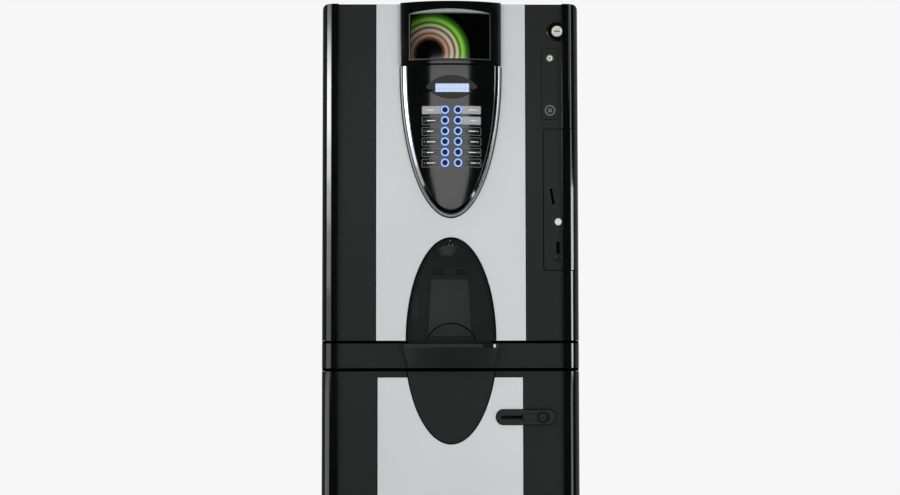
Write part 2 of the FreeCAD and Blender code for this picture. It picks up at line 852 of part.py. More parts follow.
def upper_door():
    """The door's black moulding with its knuckles and lock boss, and every hole through its wall."""
    leaves, bores = door_hinges((DOOR_LOW, DOOR_HIGH))
    boss = rod("y", "lock_boss", (f"{SATIN} - lock_boss_proud", WALL_BACK), LOCK_SPOT)
    through = (f"{PILLAR_FACE} - 1", f"{WALL_BACK} + 1")
    holes = [bay_oval("0", through, f"{DOOR_LOW} + wall")]
    holes.append(rod("y", "lock_radius + lock_play", through, LOCK_SPOT))
    holes += wire_holes(through) + payment_holes(through)
    door = fuse(moulding((DOOR_LOW, DOOR_HIGH), DOOR_BACK), boss, *leaves)
    keep("upper_door", cut(door, *holes, *bores))


def centre_panel():
    """The silver sheet between the satin panels, cut out for the cup bay and for wires."""
    deep = (f"{FACE} - wall", f"{SATIN} + wall")
    sheet_metal = block(about("oval_shift", "silver_half"), (FACE, SATIN), (DOOR_LOW, DOOR_HIGH))
    keep("centre_panel", cut(sheet_metal, bay_oval("0", deep, f"{DOOR_LOW} - wall"), *wire_holes(deep)))


SCREEN_Z = (f"({DOOR_HIGH} - screen_drop - screen_height)", f"({DOOR_HIGH} - screen_drop)")


def header_housing():
    """The bowed glossy housing of the screen, level with the door's top."""
    z = (f"{DOOR_HIGH} - header_height", DOOR_HIGH)
    whole = block(about("header_shift", "header_half"), (CROWN, FACE), z)
    window_y = (f"{CROWN} - 1", f"{CROWN} + screen_depth")
    window = block(about("-screen_shift", "screen_half"), window_y, SCREEN_Z)
    drum = bow("header_half", "header_bow", CROWN, z, "header_shift")
    keep("header_housing", cut(common(whole, drum), window))


def screen_panel():
    """The picture screen, which fills the header's window and follows its bow."""
    y = (CROWN, f"{CROWN} + screen_depth")
    whole = block(about("-screen_shift", "screen_half"), y, SCREEN_Z)
    drum = bow("header_half", "header_bow", f"{CROWN} + screen_sink", SCREEN_Z, "header_shift")
    keep("screen_panel", common(whole, drum))


def shield_room(y):
    """Everything below the header's lower edge."""
    return block((f"-{SIDE}", SIDE), y, (DOOR_LOW, SHIELD_TOP))


def control_rim():
    """The bevelled chrome rim round the control panel."""
    slope = doc.addObject("Part::Loft", "Loft")
    narrow = ("shield_half - rim_width", "shield_length - rim_width")
    outer = ring("shield_half", "shield_length", FACE, "header_shift", SHIELD_Z)
    inner = ring(*narrow, f"{FACE} - rim_proud", "header_shift", SHIELD_Z)
    slope.Sections = [outer, inner]
    slope.Solid = True
    y = (f"{FACE} - 2 * rim_proud", f"{FACE} + wall")
    keep("control_rim", cut(common(slope, shield_room(y)), oval(*narrow, y, "header_shift", SHIELD_Z)))


BUTTONS = [(column, row) for row in range(6) for column in range(2)]


def button_spot(column, row):
    """The x and z of a button's centre."""
    x = f"button_shift + ({column} - 0.5) * button_columns"
    return x, f"{SHIELD_Z} - button_drop - {row} * button_pitch"


def display_block(more, y):
    """The display's rectangle, larger all round by more."""
    z = about(f"{SHIELD_Z} - display_drop", f"display_height / 2 + {more}")
    return block(about("display_shift", f"display_half + {more}"), y, z)


def control_panel():
    """The bowed black face, hollowed behind, with a collar round each button and a display window."""
    half = "(shield_half - rim_width - play)"
    tall = "(shield_length - rim_width - play)"
    y = (PANEL_FRONT, FACE)
    plate = common(oval(half, tall, y, "header_shift", SHIELD_Z), shield_room(y))
    face = common(plate, bow(half, "panel_bow", PANEL_FRONT, (DOOR_LOW, DOOR_HIGH), "header_shift"))
    collar_y = (f"{PANEL_FRONT} - collar_proud", f"{POCKET_BACK} - wall")
    pocket_y = (POCKET_BACK, f"{FACE} + 1")
    holes = [block(about("header_shift", "wire_half"), pocket_y, (POCKET_LOW, POCKET_HIGH))]
    holes.append(display_block("0", (f"{PANEL_FRONT} - wall", FACE)))
    collars = []
    for column, row in BUTTONS:
        spot = button_spot(column, row)
        collars.append(rod("y", "button_radius + play + collar_wall", collar_y, spot))
        holes.append(rod("y", "button_radius + play", (f"{PANEL_FRONT} - wall", FACE), spot))
    keep("control_panel", cut(fuse(face, *collars), *holes))


def lcd_display():
    """The two-line display and the switch board: glass in the window, and a board behind the buttons."""
    glass = display_block("-play", (f"{PANEL_FRONT} + display_sink", BOARD_Y))
    module = display_block("display_flange", (POCKET_BACK, BOARD_Y))
    board_z = (f"{POCKET_LOW} + 2", f"{POCKET_HIGH} - 2")
    board = block(about("header_shift", "board_half"), (BOARD_Y, f"{BOARD_Y} + board_metal"), board_z)
    keep("lcd_display", fuse(glass, module, board))


def push_buttons():
    """Twelve round buttons, each kept in by a flange behind the panel."""
    length = f"({POCKET_BACK} + play + button_flange_metal - ({PANEL_FRONT} - button_proud))"
    neck = f"{length} - button_flange_metal"
    corners = [
        ("0", "0"),
        ("button_radius - button_edge", "0"),
        ("button_radius", "button_edge"),
        ("button_radius", neck),
        ("button_radius + button_flange", neck),
        ("button_radius + button_flange", length),
        ("0", length),
    ]
    for number, (column, row) in enumerate(BUTTONS, 1):
        x, z = button_spot(column, row)
        keep(f"button_{number:02d}", turned(corners, (x, f"{PANEL_FRONT} - button_proud", z), ALONG_Y))


def bay_surround():
    """The black frame behind the flap, with two lugs for the flap's pin."""
    y = (f"{FLAP_BACK} + 0.1", DOOR_BACK)
    deep = (f"{FACE} - 2 * wall", f"{DOOR_BACK} + wall")
    outer = bay_oval("play", y, f"{DOOR_LOW} + wall")
    inner = bay_oval("bay_frame_wall", deep, f"{DOOR_LOW} - wall", "(bay_frame_crown - bay_frame_wall)")
    relief_x = about("oval_shift", "flap_crown_half")
    relief_z = (f"{FLAP_PIN_Z} - 8", f"{FLAP_PIN_Z} + 14")
    relief = block(relief_x, (deep[0], FLAP_PIN_Y), relief_z)
    crown_z = (f"{FLAP_PIN_Z} + flap_knuckle + 0.1", f"{FLAP_PIN_Z} + 14")
    crown = block(relief_x, (deep[0], f"{FLAP_PIN_Y} + 7"), crown_z)
    nose_x = about("oval_shift", "flap_hinge_half + play + flap_lug")
    nose = rod("x", "flap_knuckle + 0.1", nose_x, (FLAP_PIN_Y, FLAP_PIN_Z))
    root = block(nose_x, (FLAP_PIN_Y, f"{DOOR_BACK} - wall"), about(FLAP_PIN_Z, "flap_knuckle + 0.1"))
    gap_x = about("oval_shift", "flap_hinge_half + play")
    gap = block(gap_x, (deep[0], f"{FLAP_PIN_Y} + 4"), (f"{FLAP_PIN_Z} - 8", f"{FLAP_PIN_Z} + 14"))
    bore_x = about("oval_shift", "flap_hinge_half + 2 * flap_lug")
    bore = rod("x", "flap_pin_radius + pin_play", bore_x, (FLAP_PIN_Y, FLAP_PIN_Z))
    arch = cut(cut(cut(outer, inner), relief), crown)
    keep("bay_surround", cut(cut(fuse(arch, nose, root), gap), bore))


def bay_door():
    """The smoked flap, hung from a pin behind its top, with a finger scoop at its foot."""
    plate = bay_oval("flap_gap", (FLAP_FRONT, FLAP_BACK), f"{DOOR_LOW} + 1")
    scoop_y = (f"{FLAP_FRONT} - 1", f"{FLAP_FRONT} + scoop_depth")
    scoop = rod("y", "scoop_radius", scoop_y, ("oval_shift", f"{DOOR_LOW} - scoop_drop"))
    width = about("oval_shift", "flap_hinge_half")
    web = block(width, (FLAP_BACK, FLAP_PIN_Y), about(FLAP_PIN_Z, "flap_knuckle - play"))
    knuckle = rod("x", "flap_knuckle", width, (FLAP_PIN_Y, FLAP_PIN_Z))
    pin_x = about("oval_shift", "flap_hinge_half + flap_lug")
    pin = rod("x", "flap_pin_radius", pin_x, (FLAP_PIN_Y, FLAP_PIN_Z))
    keep("bay_door", fuse(cut(plate, scoop), web, knuckle, pin))


def coin_plate():
    """The thin payment plate, which lies on the satin wall and wraps round the right pillar."""
    front = f"({PILLAR_FACE} - coin_metal)"
    flat = block(("coin_left", PILLAR_IN), (f"{SATIN} - coin_metal", SATIN), COIN_Z)
    riser = block((f"{PILLAR_IN} - coin_metal", PILLAR_IN), (front, SATIN), COIN_Z)
    top = block((f"{PILLAR_IN} - coin_metal", PILLAR_X), (front, PILLAR_FACE), COIN_Z)
    skin = rod("z", "pillar_radius + coin_metal", COIN_Z, (PILLAR_X, PILLAR_Y))
    skin = cut(skin, rod("z", "pillar_radius", COIN_Z, (PILLAR_X, PILLAR_Y)))
    wrap = common(skin, block((PILLAR_X, "coin_right"), (f"{front} - 1", PILLAR_Y), COIN_Z))
    holes = payment_holes((f"{front} - 1", WALL_BACK))
    keep("coin_plate", cut(fuse(flat, riser, top, wrap), *holes))


def return_button():
    """The white coin-return button, kept in by a flange behind the wall."""
    front = f"({SATIN} - coin_metal - return_proud)"
    neck = f"{WALL_BACK} + play - {front}"
    corners = [
        ("0", "0"),
        ("return_radius - 1", "0"),
        ("return_radius", "1"),
        ("return_radius", neck),
        ("return_radius + button_flange", neck),
        ("return_radius + button_flange", f"{neck} + button_flange"),
        ("0", f"{neck} + button_flange"),
    ]
    keep("return_button", turned(corners, ("return_x", front, f"{DOOR_LOW} + return_rise"), ALONG_Y))


def return_lever():
    """The coin-release lever: a round knob in front, a stem through the slot and a keeper behind."""
    front = f"({SATIN} - coin_metal - lever_play)"
    back = f"({WALL_BACK} + lever_play)"
    knob = rod("y", "lever_knob", (f"{front} - lever_knob_depth", front), ("lever_x", LEVER_Z))
    stem_x = about("lever_x", "lever_slot / 2 - lever_play")
    stem = block(stem_x, (front, back), about(LEVER_Z, "lever_stem"))
    keeper_x = about("lever_x", "lever_slot")
    keeper = block(keeper_x, (back, f"{back} + keeper_metal"), about(LEVER_Z, "lever_stem + 2"))
    keep("return_lever", fuse(knob, stem, keeper))


def door_lock():
    """The door's lock: a keyed cylinder, its nut, and a cam that turns behind the strike."""
    front = f"{SATIN} - lock_boss_proud - lock_head_proud"
    barrel = key_cylinder("lock_radius", (front, f"{front} + lock_length"), LOCK_SPOT, "6")
    nut = rod("y", "lock_radius + wall", (f"{WALL_BACK} + play", f"{WALL_BACK} + wall"), LOCK_SPOT)
    cam_y = f"({CASING_FRONT} + 2 * metal)"
    shaft = rod("y", "lock_shaft", (f"{front} + lock_length - 1", f"{cam_y} + cam_metal"), LOCK_SPOT)
    cam_z = (f"{LOCK_SPOT[1]} - cam_half", f"{LOCK_SPOT[1]} + cam_length")
    cam = block(about("lock_x", "cam_half"), (cam_y, f"{cam_y} + cam_metal"), cam_z)
    keep("door_lock", fuse(barrel, nut, shaft, cam))


def coin_mechanism():
    """The coin sorter on the back of the door's wall, on four posts, with a chute from the slot."""
    front = f"({WALL_BACK} + mech_gap)"
    z = (f"({COIN_Z[0]} + 6)", f"({COIN_Z[1]} - 6)")
    pieces = [block(("mech_left", "mech_right"), (front, f"{front} + mech_depth"), z)]
    for x in ("mech_left", "mech_left + 28"):
        for low in (z[0], f"{z[1]} - 10"):
            pieces.append(block((x, f"{x} + 8"), (WALL_BACK, f"{front} + 1"), (low, f"{low} + 10")))
    chute = block(about("slot_x", "11"), (WALL_BACK, f"{front} + 1"), about(SLOT_Z, "25"))
    throat = block(about("slot_x", "8"), (f"{WALL_BACK} - 1", f"{front} + 24"), about(SLOT_Z, "20"))
    keep("coin_mechanism", cut(fuse(*pieces, chute), throat))


# drip tray


def drip_tray():
    """The tray: an open trough with two ribs under the grille, and a bowed front."""
    x = about("0", "tray_half")
    trough = open_box(x, (WALL_BACK, TRAY_BACK), (TRAY_LOW, TRAY_TOP), "tray_wall")
    ribs = []
    for share in (0.25, 0.75):
        rib_y = about(f"{WALL_BACK} + {share} * tray_length", "tray_wall / 2")
        ribs.append(block(x, rib_y, (f"{TRAY_LOW} + tray_rib", GRILLE_LOW)))
    crest = f"({FACE} - tray_front_proud)"
    front_y = (crest, f"{SATIN} - play")
    front_z = (f"{BAND_LOW} + tray_front_seam", f"{BAND_HIGH} - tray_front_seam")
    low_x = about("oval_shift", "tray_front_low")
    high_x = about("oval_shift", "tray_front_high")
    pod = taper(low_x, high_x, front_y, front_y, front_z)
    drum = bow("tray_front_high", "tray_front_bow", crest, front_z, "oval_shift")
    neck = block(x, (f"{SATIN} - 2", f"{WALL_BACK} + tray_wall"), (TRAY_LOW, TRAY_TOP))
    keep("drip_tray", fuse(trough, *ribs, common(pod, drum), neck))


def drip_grille():
    """The slotted plate that the cup stands on."""
    half = "(tray_half - tray_wall - play)"
    y = (f"({WALL_BACK} + tray_wall + play)", f"({TRAY_BACK} - tray_wall - play)")
    body = doc.addObject("PartDesign::Body", "Body")
    plate = body.newObject("PartDesign::Pad", "Pad")
    rim = [(f"-{half}", "0"), (half, "0"), (half, span(y)), (f"-{half}", span(y))]
    plate.Profile = outline(body, "XY_Plane", rim)
    plate.setExpression("Length", bound("grille_metal"))
    body.Tip = plate
    slot_half = f"({half} - grille_border)"
    high = "grille_first + grille_slot"
    low = "grille_first"
    corners = [(f"-{slot_half}", low), (slot_half, low), (slot_half, high), (f"-{slot_half}", high)]
    slot = body.newObject("PartDesign::Pocket", "Pocket")
    slot.Profile = outline(body, "XY_Plane", corners)
    slot.Type = 1
    slot.Reversed = True
    body.Tip = slot
    rows = body.newObject("PartDesign::LinearPattern", "Slots")
    rows.Originals = [slot]
    rows.Direction = (slot.Profile[0], ["V_Axis"])
    rows.setExpression("Length", bound("grille_pitch * (grille_slots - 1)"))
    rows.setExpression("Occurrences", bound("grille_slots"))
    body.Tip = rows
    keep("drip_grille", at(body, "0", y[0], GRILLE_LOW))


# cabinet door


def stadium(length, height, y):
    """A plate with round ends, at the handle's place."""
    reach = f"(({length}) - ({height})) / 2"
    ends = [rod("y", f"({height}) / 2", y, (x, "handle_rise")) for x in about("handle_x", reach)]
    return fuse(block(about("handle_x", reach), y, about("handle_rise", f"({height}) / 2")), *ends)


def crest_oval(more, y):
    """The lower part of the oval, as far down as the crest reaches."""
    half_height = f"oval_half_height - crest_short + {more}"
    low = f"cabinet_height - 2 * crest_reach"
    return half_oval(f"oval_half_width + {more}", half_height, y, (low, CABINET_DOOR_HIGH))


def cabinet_door():
    """The cabinet door's black moulding, with its hinge knuckles."""
    z = ("cabinet_door_low", CABINET_DOOR_HIGH)
    leaves, bores = door_hinges(z)
    keep("cabinet_door", cut(fuse(moulding(z, DOOR_BACK), *leaves), *bores))


def cabinet_inlay():
    """The silver plate in the cabinet door, cut out round the oval and the handle."""
    deep = (f"{FACE} - wall", f"{SATIN} + wall")
    z = ("cabinet_door_low + inlay_margin", f"{CABINET_DOOR_HIGH} - inlay_margin")
    plate = block(about("-inlay_shift", "inlay_half"), (f"{SATIN} - inlay_metal", SATIN), z)
    handle = stadium("handle_length + 2 * play", "handle_height + 2 * play", deep)
    keep("cabinet_inlay", cut(plate, crest_oval("play", deep), handle))


def cabinet_crest():
    """The lower part of the oval, a black plate that stands a little proud."""
    keep("cabinet_crest", crest_oval("0", (f"{SATIN} - inlay_metal - crest_proud", SATIN)))


def handle_plate():
    """The handle's plate: a stadium with a recess for the lever, and a slot for the fingers."""
    plate = stadium("handle_length", "handle_height", (HANDLE_FACE, SATIN))
    y = (f"{HANDLE_FACE} - 1", f"{SATIN} - handle_floor")
    room = block(("grip_left - wall", "hub_x"), y, about("handle_rise", "grip_half + grip_play"))
    hub_room = rod("y", "hub_radius + grip_play", y, ("hub_x", "handle_rise"))
    swing_room = rod("y", "hub_radius + play", y, ("hub_x + hub_swing_room", "handle_rise"))
    fingers = block(("finger_left", "grip_left"), y, about("handle_rise", "finger_half"))
    bore_z = about("handle_rise", "lever_pin_half + play")
    bore = rod("z", "lever_pin_radius + pin_play", bore_z, LEVER_PIN)
    keep("handle_plate", cut(plate, room, hub_room, swing_room, fingers, bore))


def handle_lever():
    """The swing lever: a grip, a round hub for the lock, and a cross pin at its right."""
    y = (HANDLE_FACE, f"{HANDLE_FACE} + grip_metal")
    grip = block(("grip_left", "hub_x + hub_radius"), y, about("handle_rise", "grip_half"))
    hub = rod("y", "hub_radius", (f"{HANDLE_FACE} - hub_proud", y[1]), ("hub_x", "handle_rise"))
    pin = rod("z", "lever_pin_radius", about("handle_rise", "lever_pin_half"), LEVER_PIN)
    bore_y = (f"{HANDLE_FACE} - 2 * hub_proud", f"{y[1]} + 1")
    bore = rod("y", "key_radius + lock_play", bore_y, ("hub_x", "handle_rise"))
    keep("handle_lever", cut(fuse(grip, hub, pin), bore))


def handle_lock():
    """The handle's key cylinder."""
    y = (f"{HANDLE_FACE} - hub_proud - key_proud", f"{HANDLE_FACE} + grip_metal - play")
    keep("handle_lock", key_cylinder("key_radius", y, ("hub_x", "handle_rise"), "4"))


# cup bay


def bay_liner():
    """The cup bay's niche: walls, back and ceiling, with a splash panel and a sensor bar."""
    y = (f"({CASING_FRONT} + play)", BAY_BACK)
    outer = block(about("0", "bay_half"), y, (FLOOR_TOP, BAY_TOP))
    inner_y = (f"{y[0]} - wall", f"{y[1]} - wall")
    inner = block(about("0", "bay_half - wall"), inner_y, (f"{FLOOR_TOP} - wall", NOZZLE_TOP))
    panel_y = (f"{BAY_BACK} - 2 * wall", f"{BAY_BACK} - wall / 2")
    low = f"({DOOR_LOW} + splash_rise)"
    high = f"({low} + splash_height)"
    narrow = about("0", "splash_half - 9")
    splash = taper(narrow, about("0", "splash_half"), panel_y, panel_y, (low, high))
    bar_y = (f"{BAY_BACK} - wall - sensor_depth", f"{BAY_BACK} - wall / 2")
    bar = block(about("0", "sensor_half"), bar_y, (f"{high} + 5", f"{high} + 5 + sensor_height"))
    shell = fuse(cut(outer, inner), splash, bar)
    hole_z = (f"{NOZZLE_TOP} - 1", f"{BAY_TOP} + 1")
    holes = [rod("z", "hose_radius + play", hole_z, (x, NOZZLE_Y)) for x in hose_ends()]
    keep("bay_liner", cut(shell, *holes))


def hose_ends():
    """Where the two hoses come down to the nozzle head."""
    return about(NOZZLE_X, "spout_pitch")


def nozzle_head():
    """The drink outlet: a rounded head under the bay's ceiling, with three spouts."""
    corners = [
        ("0", "0"),
        ("nozzle_radius * 0.5", "0"),
        ("nozzle_radius * 0.85", "nozzle_height * 0.3"),
        ("nozzle_radius", "nozzle_height * 0.65"),
        ("nozzle_radius", "nozzle_height"),
        ("0", "nozzle_height"),
    ]
    low = f"({NOZZLE_TOP} - nozzle_height)"
    spout_z = (f"{low} - spout_length", f"{low} + 4")
    spouts = []
    for step in (-1, 0, 1):
        spouts.append(rod("z", "spout_radius", spout_z, (f"{NOZZLE_X} + {step} * spout_pitch", NOZZLE_Y)))
    keep("nozzle_head", fuse(turned(corners, (NOZZLE_X, NOZZLE_Y, low)), *spouts))


# works in the casing


def hopper_shape(less, top):
    """A box over a square funnel, smaller all round by less."""
    x = about(HOPPER_X, f"hopper_half - {less}")
    y = (f"-hopper_front + {less}", f"plate_y - {less}")
    throat_x = about(HOPPER_X, f"hopper_throat - {less}")
    throat_y = about(HOPPER_Y, f"hopper_throat - {less}")
    funnel = taper(throat_x, x, throat_y, y, (GRINDER_HIGH, HOPPER_LOW))
    return fuse(block(x, y, (HOPPER_LOW, top)), funnel)


def bean_hopper():
    """The clear bean hopper, open at the top and at its throat."""
    keep("bean_hopper", cut(hopper_shape("0", HOPPER_HIGH), hopper_shape("wall", f"{HOPPER_HIGH} + 1")))


def grinder():
    """The grinder: a motor under a wider burr housing, with its bracket and a chute to the brew unit."""
    middle = (HOPPER_X, HOPPER_Y)
    burrs = rod("z", "grinder_radius", (BURR_LOW, GRINDER_HIGH), middle)
    throat = rod("z", "hopper_throat - wall", (f"{GRINDER_HIGH} - 10", f"{GRINDER_HIGH} + 1"), middle)
    motor = rod("z", "grinder_radius - 8", (f"{GRINDER_HIGH} - grinder_height", BURR_LOW), middle)
    bracket_x = about(HOPPER_X, "bracket_half")
    bracket = block(bracket_x, (HOPPER_Y, "plate_y"), (f"{BURR_LOW} - 10", BURR_LOW))
    chute = taper(
        about(BREWER_X, "chute_half"),
        about(f"{HOPPER_X} - 20", "chute_half"),
        about(BREWER_Y, "chute_half"),
        about(f"{HOPPER_Y} + 10", "chute_half"),
        (f"{BREWER_HIGH} + brewer_funnel + 2", f"{BURR_LOW} - 20"),
    )
    keep("grinder", fuse(cut(burrs, throat), motor, bracket, chute))


def brew_unit():
    """The brew unit: a housing bored for the piston, with a window in front and a funnel on top."""
    middle = (BREWER_X, BREWER_Y)
    housing_y = ("plate_y - brewer_depth", "plate_y")
    housing = block(about(BREWER_X, "brewer_half"), housing_y, (BREWER_LOW, BREWER_HIGH))
    chamber = rod("z", "chamber_radius", (f"{BREWER_LOW} - 1", f"{BREWER_HIGH} + 1"), middle)
    window_x = about(BREWER_X, "brewer_half - chamber_window")
    window_z = (f"{BREWER_HIGH} - brewer_height / 2", f"{BREWER_HIGH} - brewer_height / 4")
    window = block(window_x, (f"{housing_y[0]} - 1", BREWER_Y), window_z)
    funnel_z = (BREWER_HIGH, f"{BREWER_HIGH} + brewer_funnel")
    funnel = cone("chamber_radius + wall", "chamber_radius + 7 * wall", funnel_z, middle)
    mouth = cone("chamber_radius", "chamber_radius + 6 * wall", funnel_z, middle)
    keep("brew_unit", fuse(cut(housing, chamber, window), cut(funnel, mouth)))


def brew_piston():
    """The piston that presses the grounds, with its drive rod."""
    radius = "(chamber_radius - piston_play)"
    top = "piston_rod_length + piston_head"
    corners = [
        ("0", "0"),
        ("piston_rod", "0"),
        ("piston_rod", "piston_rod_length"),
        (radius, "piston_rod_length"),
        (radius, f"{top} - 2"),
        (f"{radius} - 2", top),
        ("0", top),
    ]
    keep("brew_piston", turned(corners, (BREWER_X, BREWER_Y, f"{BREWER_LOW} + piston_rise")))


def canister_shape(x, less, top):
    """A tall box on a sloping base with a round trough, smaller all round by less."""
    y = (f"{CANISTER_FRONT} + {less}", f"plate_y - {less}")
    wide = about(x, f"canister_half - {less}")
    narrow = about(x, f"trough_radius - {less}")
    upper = block(wide, y, (CANISTER_KNEE, top))
    slope = taper(narrow, wide, y, y, (AUGER_Z, CANISTER_KNEE))
    return fuse(upper, slope, rod("y", f"trough_radius - {less}", y, (x, AUGER_Z)))


def canister(x):
    """One open canister, with an outlet spout in front and a hole for the auger's shaft behind."""
    spout_front = f"({CANISTER_FRONT} - spout_reach)"
    spout = rod("y", "trough_radius", (spout_front, CANISTER_FRONT), (x, AUGER_Z))
    bore_y = (f"{spout_front} + wall", f"{CANISTER_FRONT} + wall + 1")
    bore = rod("y", "trough_radius - wall", bore_y, (x, AUGER_Z))
    drop_y = (f"{spout_front} + wall", f"{CANISTER_FRONT} - wall")
    drop = block(about(x, "spout_hole"), drop_y, (f"{AUGER_Z} - trough_radius - 1", AUGER_Z))
    drive = rod("y", "shaft_hole", ("plate_y - wall - 1", "plate_y + 1"), (x, AUGER_Z))
    inside = canister_shape(x, "wall", f"{CANISTER_HIGH} + 1")
    hollow = cut(canister_shape(x, "0", CANISTER_HIGH), inside)
    return cut(fuse(hollow, spout), bore, drop, drive)


def ingredient_canisters():
    """The two powder canisters."""
    keep("ingredient_canisters", group(*[canister(x) for x in CANISTER_SPOTS.values()]))


def flight(level, way):
    """Half of a tilted disc, on one side of an auger's shaft."""
    disc = new("Part::Cylinder", {"Radius": "auger_radius", "Height": "auger_metal"})
    at(disc, "0", "0", level, FreeCAD.Rotation(FreeCAD.Vector(1, 0, 0), 25 * way))
    side = ("0", "auger_radius") if way > 0 else ("-auger_radius", "0")
    return common(disc, block(about("0", "auger_radius"), side, about(level, "auger_radius")))


def augers():
    """A screw in each canister: half discs tilted by turns, a hub, and a shaft that its motor holds."""
    reach = "(canister_depth - 2 * wall - auger_hub)"
    for name, x in CANISTER_SPOTS.items():
        flights = []
        for turn in range(SIZES["auger_flights"]):
            level = f"({reach} * ({turn} + 0.5) / auger_flights)"
            flights.append(flight(level, 1 if turn % 2 else -1))
        hub = rod("z", "auger_radius", (f"{reach} - auger_metal", f"{reach} + auger_hub - 2"), ("0", "0"))
        shaft = rod("z", "shaft_radius", ("0", "canister_depth + metal + shaft_grip"), ("0", "0"))
        screw = fuse(shaft, hub, *flights)
        keep(f"auger_{name}", at(screw, x, CANISTER_FRONT, AUGER_Z, ALONG_Y))


def bowl_shape(less):
    """A square funnel over a round chamber, smaller all round by less."""
    top_x = about(BOWL_X, f"bowl_mouth_half - {less}")
    top_y = about(NOZZLE_Y, f"bowl_mouth_depth - {less}")
    neck_x = about(BOWL_X, f"bowl_mouth_depth - {less}")
    slope = taper(neck_x, top_x, top_y, top_y, (f"{BOWL_NECK}", BOWL_HIGH))
    chamber = rod("z", f"bowl_radius - {less}", (f"{BOWL_LOW} + {less}", BOWL_NECK), (BOWL_X, NOZZLE_Y))
    return slope, chamber


def mixing_bowl():
    """The mixing bowl under both spouts, with an outlet below and a pad against the whisk's motor."""
    slope, chamber = bowl_shape("0")
    inner_slope, inner_chamber = bowl_shape("bowl_wall")
    middle = (BOWL_X, NOZZLE_Y)
    pad_z = about(WHISK_Z, "bowl_pad_half")
    pad = block(about(BOWL_X, "bowl_pad_half"), (NOZZLE_Y, WHISK_MOTOR_Y), pad_z)
    outlet = rod("z", "hose_radius", (f"{BOWL_LOW} - 10", f"{BOWL_LOW} + 1"), middle)
    drain = rod("z", "hose_bore", (f"{BOWL_LOW} - 11", f"{BOWL_LOW} + bowl_wall + 1"), middle)
    shaft = rod("y", "shaft_hole", (NOZZLE_Y, f"{WHISK_MOTOR_Y} + 1"), (BOWL_X, WHISK_Z))
    body = fuse(slope, chamber, pad, outlet)
    keep("mixing_bowl", cut(body, inner_slope, inner_chamber, drain, shaft))


def whisk():
    """The mixing impeller: a disc with four blades, on a shaft that its motor holds."""
    middle = (BOWL_X, WHISK_Z)
    disc = rod("y", "whisk_radius", about(NOZZLE_Y, "whisk_depth / 2"), middle)
    shaft = rod("y", "shaft_radius", (NOZZLE_Y, f"{WHISK_MOTOR_Y} + shaft_grip"), middle)
    blade_y = (f"{NOZZLE_Y} - whisk_depth", NOZZLE_Y)
    flat = block(about(BOWL_X, "whisk_radius"), blade_y, about(WHISK_Z, "1"))
    tall = block(about(BOWL_X, "1"), blade_y, about(WHISK_Z, "whisk_radius"))
    keep("whisk", fuse(disc, shaft, flat, tall))


def motor(spot, front, grip):
    """A round gear motor; grip is the length of the shaft that it holds."""
    body = rod("y", "motor_radius", (front, f"{front} + motor_length"), spot)
    bore_y = (f"{front} - 1", f"{front} + {grip} + 1")
    return cut(body, rod("y", "shaft_radius + shaft_play", bore_y, spot))


def gear_motors():
    """Two auger motors and the brew unit's motor behind the plate, and the whisk's motor in front."""
    behind = "(plate_y + metal)"
    motors = [motor((x, AUGER_Z), behind, "shaft_grip") for x in CANISTER_SPOTS.values()]
    motor_y = (behind, f"{behind} + motor_length")
    motors.append(rod("y", "motor_radius", motor_y, (BREWER_X, f"{BREWER_LOW} + 30")))
    whisk_motor = motor((BOWL_X, WHISK_Z), WHISK_MOTOR_Y, "shaft_grip")
    arm_y = (f"{WHISK_MOTOR_Y} + motor_length - 1", "plate_y")
    arm = block(about(BOWL_X, "bowl_pad_half"), arm_y, about(WHISK_Z, "bowl_pad_half"))
    keep("gear_motors", group(*motors, fuse(whisk_motor, arm)))


def bowl_hose(radius):
    """From the mixing bowl down, across to the left, and down into the nozzle head."""
    drop_x = hose_ends()[1]
    first = (f"({BOWL_X} - hose_bend)", NOZZLE_Y, f"({HOSE_LEVEL} + hose_bend)")
    last = (f"({drop_x} + hose_bend)", NOZZLE_Y, BAY_TOP)
    return fuse(
        rod("z", radius, (first[2], f"{BOWL_LOW} - 10"), (BOWL_X, NOZZLE_Y)),
        bend(radius, -90, first, STANDING),
        rod("x", radius, (last[0], first[0]), (NOZZLE_Y, HOSE_LEVEL)),
        bend(radius, 90, last, STANDING),
        rod("z", radius, (NOZZLE_TOP, BAY_TOP), (drop_x, NOZZLE_Y)),
    )


def brewer_hose(radius):
    """From the brew unit's front forward, across to the right, and down into the nozzle head."""
    drop_x = hose_ends()[0]
    start_x = f"({BREWER_X} + brewer_half - 2 * hose_radius)"
    corner = (f"({start_x} + hose_bend)", f"({NOZZLE_Y} + hose_bend)", HOSE_LEVEL)
    last = (f"({drop_x} - hose_bend)", NOZZLE_Y, BAY_TOP)
    return fuse(
        rod("y", radius, (corner[1], "plate_y - brewer_depth"), (start_x, HOSE_LEVEL)),
        bend(radius, 180, corner, UPRIGHT),
        rod("x", radius, (corner[0], last[0]), (NOZZLE_Y, HOSE_LEVEL)),
        bend(radius, 0, last, STANDING),
        rod("z", radius, (NOZZLE_TOP, BAY_TOP), (drop_x, NOZZLE_Y)),
    )


def drink_hoses():
    """Two bent hoses, from the brew unit and from the mixing bowl to the nozzle head."""
    hoses = [cut(hose("hose_radius"), hose("hose_bore")) for hose in (brewer_hose, bowl_hose)]
    keep("drink_hoses", group(*hoses))


def boiler():
    """The upright boiler behind the plate, on two arms."""
    low = f"({FLOOR_TOP} + boiler_rise)"
    x = "-boiler_x"
    tank = rod("z", "boiler_radius", (low, f"{low} + boiler_length"), (x, "boiler_y"))
    arms = []
    for rise in ("boiler_arm_low", "boiler_arm_high"):
        arm_z = (f"{low} + {rise}", f"{low} + {rise} + boiler_arm_metal")
        arms.append(block(about(x, "bracket_half"), ("plate_y + metal", "boiler_y"), arm_z))
    keep("boiler", fuse(tank, *arms))


